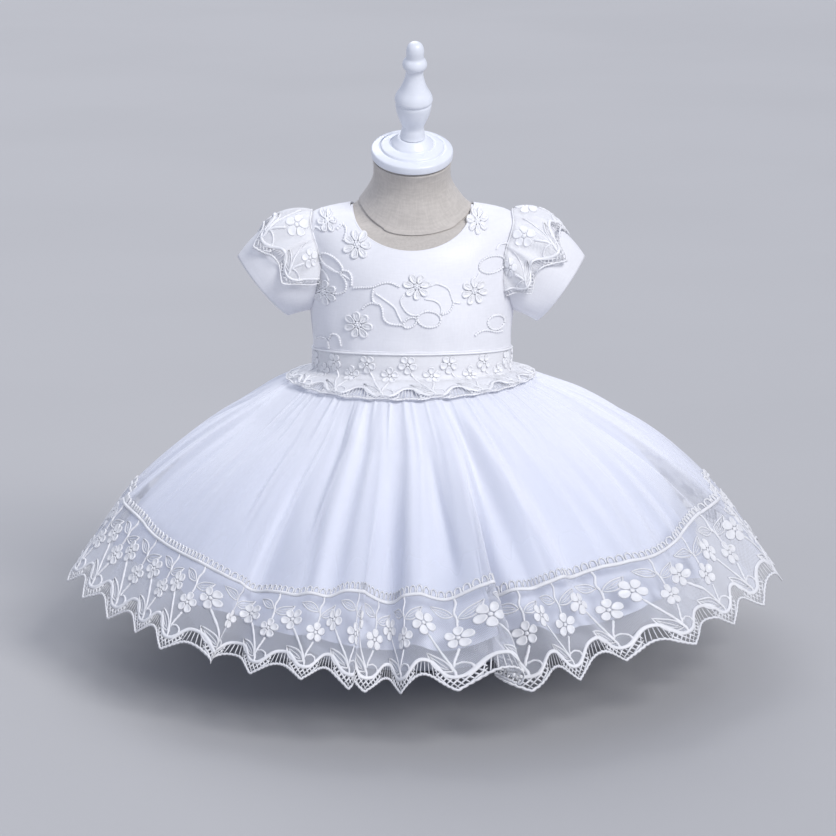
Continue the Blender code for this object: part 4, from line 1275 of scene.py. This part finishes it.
class Lace:
    """A length of the lace: how many repeats, where it is cut along its top, and the surface it is sewn to."""

    def __init__(self, count, crop, surface, shift=0.0, joined=False):
        self.count, self.crop, self.surface, self.shift, self.joined = count, crop, surface, shift, joined
        self.length = count * REPEAT

    def net(self, name, turned=False):
        """The net, from its upper edge down to the scalloped cord."""
        x = np.linspace(0.0, self.length, round(self.length / NET_STEP) + 1)
        y = self.crop + np.linspace(0.0, 1.0, 20)[:, None] * (wave_of(x - self.shift) - self.crop)[None, :]
        grid = listed(x[None, :], y, 0.0)
        points = self.surface(grid[:, :-1] if self.joined else grid)
        return sheet_piece(name, points, grid[..., :2] * MM, closed=self.joined, turned=turned)

    def add_cords(self, whole, rim, rim_width):
        """The long threads: a straight rim, the scalloped cord and the picot edge."""
        for step, y_of, wide, high, picot in (
            (2.0, lambda x: 0.0 * x + rim, rim_width, 0.55 * rim_width, 0.0), (2.0, wave_of, 3.4, 1.2, 0.0),
            (0.62, edge_of, 2.3, 1.1, 0.8),
        ):
            count = round(self.length / step)
            x = np.arange(-1, count + (1 if self.joined else 2)) * (self.length / count)
            y = y_of(x - self.shift) + picot * np.abs(np.sin(math.pi * x / PICOT))
            whole.thread(listed(x, y), wide, high, sides=6 if step > 1 else 4, joined=self.joined)

    def stitches(self, name, charts, rim=None, rim_width=None):
        """The charts repeated along the length, and with a rim all the long threads."""
        whole = Stitching()
        for chart in charts:
            points, faces = chart.arrays()
            for i in range(self.count):
                whole.add(points + (i * REPEAT + self.shift, 0.0, 0.0), faces)
        if rim is not None:
            self.add_cords(whole, rim, rim_width)
        return sewn(name, *whole.arrays(), self.surface)


# ---------------------------------------------------------------- waistband and its lace
def round_waist(slit, columns):
    """Angles round the waist from one side of the centre back to the other."""
    return np.linspace(math.pi / 2 + slit, 2.5 * math.pi - slit, columns)


def waistband():
    angles, shares = round_waist(SEAM / WAIST_HALF_DEPTH, 260)[None, :], np.linspace(0.0, 1.0, 26)[:, None]
    top = waist_top(angles) - SEAM
    heights = top + (waist_low(angles) - top) * shares
    crush = 0.00035 * np.sin(shares * 15 + 1.1 * np.sin(angles * 3)) * np.sin(math.pi * shares)
    points = on_form(angles, heights, SKIN + 0.0002 + np.abs(crush))
    return thicken(sheet_piece("waist_satin", points, listed(angles * UV_RADIUS, heights)), 0.0013)


def waist_cord():
    """The corded seam between the bodice and the band."""
    angles = round_waist(0.004, 300)
    return cord_piece("waist_piping", on_form(angles, waist_top(angles) + 0.0002, 0.0021), 0.0008, sides=8)


def flat_waist_point(flat):
    """The waist's lace rests on the flare, which draws its points up and its bows down to nearly one line."""
    x, y = flat[..., 0], flat[..., 1]
    turn = x / (WAIST_REPEATS * REPEAT) * 0.9984 + 0.0008
    deep = 0.5 + 0.5 * np.cos(2 * math.pi * (x - WAIST_SHIFT) / REPEAT)
    y = y + 0.55 * (1.0 - deep) * np.clip(y - 55.0, 0.0, None) - 0.45 * deep * np.clip(y - 67.0, 0.0, None)
    return waist_lace_point(listed(turn, (y - WAIST_CROP) / (TIP - WAIST_CROP), flat[..., 2]))


def waist_lace():
    return Lace(WAIST_REPEATS, WAIST_CROP, flat_waist_point, WAIST_SHIFT)


# ---------------------------------------------------------------- sleeves
def sleeve_shell(cuff):
    turns, outs = ring_of(160)[None, :], np.linspace(0.0, 1.0, 44)[:, None]
    gathers = 0.0011 * np.sin(turns * 34) * kept(np.sin(turns)) * bell(outs / 0.16)
    soft = 0.0009 * np.sin(turns * 5 + 1.0) * np.sin(math.pi * outs)
    hem = 0.0004 * bell((outs - 0.90) / 0.006)
    points = on_sleeve(cuff, turns, outs, gathers + soft - hem)
    uv = listed(ring_of(160, 1)[None, :] * 0.036, outs * 0.055)
    return thicken(sheet_piece("sleeve_satin_" + cuff, points, uv, closed=True, turned=cuff == "right"), CLOTH)


def flounce_point(cuff, flat):
    """Where a point of the charted flounce lies: gathered along the armhole, it fans out towards its points."""
    step = np.clip((flat[..., 1] - FLOUNCE_CROP) / (TIP - FLOUNCE_CROP), 0.0, None)
    length = FLOUNCE_REPEATS * REPEAT
    fold = 2 * math.pi * (flat[..., 0] - REPEAT / 2 - 3.0) / REPEAT
    x = flat[..., 0] + 4.2 * np.sin(fold) * kept(1.0 - step)
    ending = FLOUNCE_START[cuff] + FLOUNCE_SPAN * x / length
    ending = ending - 0.11 * np.sin(2.0 * ending)
    turn = math.pi / 2 + (ending - math.pi / 2) * (0.75 + 0.25 * step)
    ends = kept(np.minimum(x, length - x) / 14.0)
    share = read(COVERS, np.sin(ending))[0] * np.sqrt(ends * (2.0 - ends))
    puff = 0.0004 + 0.0030 * np.sin(math.pi * kept(step)) * np.maximum(np.sin(turn), 0.2)
    ripple = 0.0022 * np.cos(fold) + 0.0030 * np.cos(2.0 * fold + 1.0)
    near = 1.0 - (0.30 + 0.64 * kept(np.sin(ending)) ** 4) * step
    lift = puff + (ripple + 0.0050) * step**0.4 * near
    out = share * step - 0.03 * kept(1.0 - 2.0 * step)
    return on_sleeve(cuff, turn, out, CLOTH + 0.0004 + lift + flat[..., 2] * MM)


def flounce_lace(cuff):
    return Lace(FLOUNCE_REPEATS, FLOUNCE_CROP, partial(flounce_point, cuff), REPEAT / 2)


# ---------------------------------------------------------------- the skirt
def skirt_layer(name, downs, columns, surface, width):
    """A layer of the skirt, its columns closer together at the front."""
    even = ring_of(columns, 1)[None, :]
    azimuths, downs = even - 0.30 * np.sin(even), downs[:, None]
    uv = listed(azimuths / (2 * math.pi) * width, downs * 0.24)
    return sheet_piece(name, surface(azimuths[:, :-1], downs), uv, closed=True)


def closer_above(level, above, end, below):
    """Rows down a layer, with so many above a level and the rest below it."""
    return np.concatenate([np.linspace(0.0, level, above, endpoint=False), np.linspace(level, end, below)])


# ---------------------------------------------------------------- settings, operators and panel
def colour(name, description, default):
    return bpy.props.FloatVectorProperty(
        name=name, description=description, subtype="COLOR", size=3, default=default, min=0.0, max=1.0
    )


def cover(name, description, default):
    return bpy.props.FloatProperty(
        name=name, description=description, subtype="FACTOR", default=default, min=0.05, max=0.95
    )


class DressSettings(bpy.types.PropertyGroup):
    """Colours and covers that a user would change."""

    satin: colour("Satin", "Colour of the bodice, sleeves and band", (0.83, 0.835, 0.88))
    tulle: colour("Tulle", "Colour of the skirt's sheer cloth and its lining", (0.82, 0.84, 0.92))
    lace: colour("Lace", "Colour of the embroidery thread", (0.86, 0.865, 0.895))
    linen: colour("Linen", "Colour of the dress form's cover", (0.56, 0.525, 0.49))
    paint: colour("Paint", "Colour of the turned wood", (0.78, 0.81, 0.88))
    pearl: colour("Pearl", "Colour of the back buttons", (0.88, 0.87, 0.86))
    floor: colour("Floor", "Colour of the plain floor", (0.42, 0.42, 0.43))
    net: colour("Net", "Colour of the lace's net", (0.72, 0.74, 0.82))
    net_cell: bpy.props.FloatProperty(
        name="Net mesh", description="Width of one mesh of the lace's net", subtype="DISTANCE", unit="LENGTH",
        default=0.0015, min=0.0005, max=0.004,
    )
    tulle_cover: cover("Tulle cover", "How much the tulle hides, face on", 0.32)
    net_cover: cover("Net cover", "How much the border's net hides, face on", 0.30)


def satin_of(settings):
    return shared_material("organza over satin", woven_material, settings.satin, 0.0005, 0.5, 0.25, "flat")


def thread_of(settings):
    return shared_material("lace thread", stitched_material, settings.lace)


def backed_net_of(settings):
    """The lace's net where it lies close on satin and looks whiter."""
    return shared_material(
        "backed net", sheer_material, settings.lace, 0.70, 0.94, settings.net_cell, 0.13, net_share=0.4
    )


class DRESS_OT_form(bpy.types.Operator):
    """Builds the dress form: padded body, neck cover, cap, finial, pole and base"""

    bl_idname = "dress.form"
    bl_label = "Dress form"

    def execute(self, context):
        settings = context.scene.dress_settings
        linen = shared_material(
            "linen cover", woven_material, settings.linen, 0.0006, 0.85, 0.2, "flat", 0.95, 30.0, 0.0001, 0.08
        )
        finish_with(form_body(), linen, "linen", "form_body")
        finish_with(neck_cover(), linen, "linen")
        paint = shared_material("painted wood", painted_material, settings.paint)
        upright = Matrix.Identity(4)
        for name, profile, place, steps, solid in (
            ("neck_cap", CAP, neck_axis(), 32, "form_cap"), ("finial", FINIAL, neck_axis(), 32, "form_finial"),
            ("pole", POLE, upright, 32, "form_pole"), ("base", BASE, upright, 48, "form_base"),
        ):
            finish_with(turned_piece(name, profile, place, steps), paint, "painted_wood", solid)
        return {"FINISHED"}


class DRESS_OT_bodice(bpy.types.Operator):
    """Builds the bodice's front and two backs, with the bound neckline and the back placket"""

    bl_idname = "dress.bodice"
    bl_label = "Bodice"

    def execute(self, context):
        satin = satin_of(context.scene.dress_settings)
        cutters = [cutter_for_armholes(), cutter_for_neck(False), cutter_for_neck(True)]
        for place, start, end, columns, width, area in (
            ("front", -math.pi, 0.0, 150, 0.27, 0.029), ("back_right", 0.0, math.pi / 2, 76, 0.14, 0.0145),
            ("back_left", math.pi / 2, math.pi, 76, 0.14, 0.0145),
        ):
            panel = bodice_panel("bodice_satin_" + place, start, end, columns, cutters)
            finish_with(panel, satin, "satin", "bodice_" + place)
        for tool in cutters:
            bpy.data.objects.remove(tool)
        finish_with(neck_binding("neck_binding_front", False), satin, "satin")
        finish_with(neck_binding("neck_binding_back", True), satin, "satin")
        placket = finish_with(back_placket(), satin, "satin", "back_placket")
        return {"FINISHED"}


class DRESS_OT_bodice_flowers(bpy.types.Operator):
    """Sews the raised flowers and looping cords to the bodice"""

    bl_idname = "dress.bodice_flowers"
    bl_label = "Bodice flowers"

    def execute(self, context):
        thread = thread_of(context.scene.dress_settings)
        finish_with(sewn("bodice_flowers_front", *front_embroidery(), bodice_point), thread, "lace")
        finish_with(sewn("bodice_flowers_back", *back_embroidery(), partial(bodice_point, back=True)), thread, "lace")
        return {"FINISHED"}


class DRESS_OT_buttons(bpy.types.Operator):
    """Turns one pearl button and sews a copy of it at each of the four places on the placket"""

    bl_idname = "dress.buttons"
    bl_label = "Buttons"

    def execute(self, context):
        pearl = shared_material("pearl button", pearl_material, context.scene.dress_settings.pearl)
        button = turned_piece("pearl_1", BUTTON, Matrix.Identity(4), 20, 1)
        model = button.data.copy()
        for number, height in enumerate(BUTTON_HEIGHTS, start=1):
            if number > 1:
                button = bpy.data.objects.new("pearl_%d" % number, model.copy())
                context.scene.collection.objects.link(button)
            out = Vector(normal_of(form_point, np.array(math.pi / 2), np.array(height)))
            centre = Vector(on_form(math.pi / 2, height, SKIN + CLOTH + 0.0020 + 0.6 * BUTTON_R))
            button.data.transform(Matrix.Translation(centre) @ out.to_track_quat("Z", "Y").to_matrix().to_4x4())
            finish_with(button, pearl, "button", "button_%d" % number)
        return {"FINISHED"}


class DRESS_OT_waist(bpy.types.Operator):
    """Builds the satin waistband, its corded seam and the flowered lace over it"""

    bl_idname = "dress.waist"
    bl_label = "Waistband and lace"

    def execute(self, context):
        settings = context.scene.dress_settings
        satin, lace = satin_of(settings), waist_lace()
        charts = edging_chart(False), spray_chart(False)
        band = finish_with(waistband(), satin, "satin", "waistband")
        finish_with(waist_cord(), satin, "satin")
        net = finish_with(lace.net("waist_net"), backed_net_of(settings), "lace", "waist_lace")
        stitches = lace.stitches("waist_flowers", charts, WAIST_CROP + 0.6, 2.6)
        flowers = finish_with(stitches, thread_of(settings), "lace")
        return {"FINISHED"}


class DRESS_OT_sleeves(bpy.types.Operator):
    """Builds both satin cap sleeves and the gathered lace flounce over each"""

    bl_idname = "dress.sleeves"
    bl_label = "Sleeves"

    def execute(self, context):
        settings = context.scene.dress_settings
        charts = edging_chart(False), spray_chart(False, single=True)
        for cuff in CUFFS:
            lace = flounce_lace(cuff)
            shell = finish_with(sleeve_shell(cuff), satin_of(settings), "satin", "sleeve_" + cuff)
            net = lace.net("flounce_net_" + cuff, turned=cuff == "right")
            net = finish_with(net, backed_net_of(settings), "lace", "sleeve_lace_" + cuff)
            stitches = lace.stitches("flounce_flowers_" + cuff, charts, FLOUNCE_CROP + 0.5, 1.3)
            flowers = finish_with(stitches, thread_of(settings), "lace")
        return {"FINISHED"}


class DRESS_OT_skirt(bpy.types.Operator):
    """Builds the sheer outer skirt, its lining and the net petticoat"""

    bl_idname = "dress.skirt"
    bl_label = "Skirt"

    def execute(self, context):
        settings = context.scene.dress_settings
        # The lining's colour is the tulle's, darkened and turned bluer: painted shade, for the shade that the lining
        # lies in under the tulle.
        painted_shade_lining = [share * channel for share, channel in zip((0.74, 0.76, 0.81), settings.tulle)]
        sheer = shared_material(
            "sheer tulle", sheer_material, settings.tulle, settings.tulle_cover, 0.85, 0.0011, 0.14,
            net_share=0.2, gathers=0.19,
        )
        lining_cloth = shared_material(
            "lining cloth", woven_material, painted_shade_lining, 0.0005, 0.55, 0.2, "flat", 0.97, 9.0, 0.00002, 0.01
        )
        soft_net = shared_material(
            "petticoat net", sheer_material, settings.tulle, 0.10, 0.4, 0.0022, 0.14, net_share=0.4
        )
        tulle = skirt_layer("tulle", closer_above(0.2, 18, LADDER, 30), SKIRT_COLUMNS, tulle_point, 2.0)
        finish_with(tulle, sheer, "tulle", "skirt_tulle")
        lining = skirt_layer("lining", closer_above(0.24, 18, 1.0, 36), SKIRT_COLUMNS, hemmed(0), 1.6)
        finish_with(lining, lining_cloth, "satin", "skirt_lining")
        petticoat = skirt_layer("petticoat_net", np.linspace(0.0, 1.0, 36), PETTICOAT_COLUMNS, hemmed(1), 2.2)
        finish_with(petticoat, soft_net, "tulle", "petticoat")
        return {"FINISHED"}


class DRESS_OT_border(bpy.types.Operator):
    """Sews the embroidered lace border to the skirt's lower edge"""

    bl_idname = "dress.border"
    bl_label = "Lace border"

    def execute(self, context):
        settings = context.scene.dress_settings
        mesh_cloth = shared_material(
            "lace net", sheer_material, settings.net, settings.net_cover, 0.80, settings.net_cell, 0.13
        )
        softer = [0.87 * channel for channel in settings.lace]
        thread = shared_material("border thread", stitched_material, softer)
        lace = Lace(SCALLOP_COUNT, 0.0, border_point, joined=True)
        net = finish_with(lace.net("border_net"), mesh_cloth, "lace", "hem_lace")
        edging = finish_with(lace.stitches("border_edging", (edging_chart(),), 0.0, 3.2), thread, "lace")
        flowers = finish_with(lace.stitches("border_flowers", (spray_chart(),)), thread, "lace")
        return {"FINISHED"}


def pale_floor(colour):
    """A wide round floor, with its middle inset as a ring of its own."""
    bpy.ops.object.select_all(action="DESELECT")
    bpy.ops.mesh.primitive_circle_add(vertices=96, radius=16.0, fill_type="NGON", location=(0.0, 0.0, -0.0005))
    obj = in_edit_mode(bpy.context.object, ("inset", {"thickness": 13.0, "depth": 0.0}))
    obj.name = obj.data.name = "floor"
    bpy.ops.object.transform_apply(location=True, rotation=False, scale=False)
    obj.data.materials.append(floor_material("pale floor", colour))
    return obj


def soft_lamp(name, place, softness, strength, colour):
    """A large soft lamp that shines from a place to the middle of the floor."""
    lamp = bpy.data.lights.new(name, "SUN")
    lamp.angle, lamp.energy, lamp.color = math.radians(softness), strength, colour
    light = bpy.data.objects.new(name, lamp)
    light.location = place
    light.rotation_euler = Vector(place).to_track_quat("Z", "Y").to_euler()
    return light


def front_camera():
    lens = bpy.data.cameras.new("camera")
    lens.sensor_width, lens.lens = CAMERA_FILM, CAMERA_LENS
    camera = bpy.data.objects.new("camera", lens)
    camera.location = CAMERA_PLACE
    camera.rotation_euler = (math.radians(90.0 - CAMERA_DIP), 0.0, 0.0)
    return camera


class DRESS_OT_stage(bpy.types.Operator):
    """Sets the plain floor, the soft lights and the camera"""

    bl_idname = "dress.stage"
    bl_label = "Floor, lights and camera"

    def execute(self, context):
        scene = context.scene
        pale_floor(scene.dress_settings.floor)
        world = bpy.data.worlds.new("studio")
        world.use_nodes = True
        give(world.node_tree, world.node_tree.nodes["Background"], SKY)
        scene.world = world
        for lamp in LAMPS:
            scene.collection.objects.link(soft_lamp(*lamp))
        scene.camera = front_camera()
        scene.collection.objects.link(scene.camera)
        scene.view_settings.view_transform = "Standard"
        return {"FINISHED"}


STEPS = (
    DRESS_OT_form, DRESS_OT_bodice, DRESS_OT_bodice_flowers, DRESS_OT_buttons, DRESS_OT_waist,
    DRESS_OT_sleeves, DRESS_OT_skirt, DRESS_OT_border, DRESS_OT_stage,
)


class DRESS_PT_panel(bpy.types.Panel):
    """Lists the dress's settings and its pieces"""

    bl_idname = "DRESS_PT_panel"
    bl_label = "Baby party dress"
    bl_space_type = "VIEW_3D"
    bl_region_type = "UI"
    bl_category = "Dress"

    def draw(self, context):
        settings = context.scene.dress_settings
        for label in DressSettings.__annotations__:
            self.layout.prop(settings, label)
        for step in STEPS:
            self.layout.operator(step.bl_idname)


def register():
    for made in (DressSettings, *STEPS, DRESS_PT_panel):
        bpy.utils.register_class(made)
    bpy.types.Scene.dress_settings = bpy.props.PointerProperty(type=DressSettings)


def unregister():
    del bpy.types.Scene.dress_settings
    for made in reversed((DressSettings, *STEPS, DRESS_PT_panel)):
        bpy.utils.unregister_class(made)


def main():
    register()
    for step in STEPS:
        group, name = step.bl_idname.split(".")
        getattr(getattr(bpy.ops, group), name)()


if __name__ == "__main__":
    main()
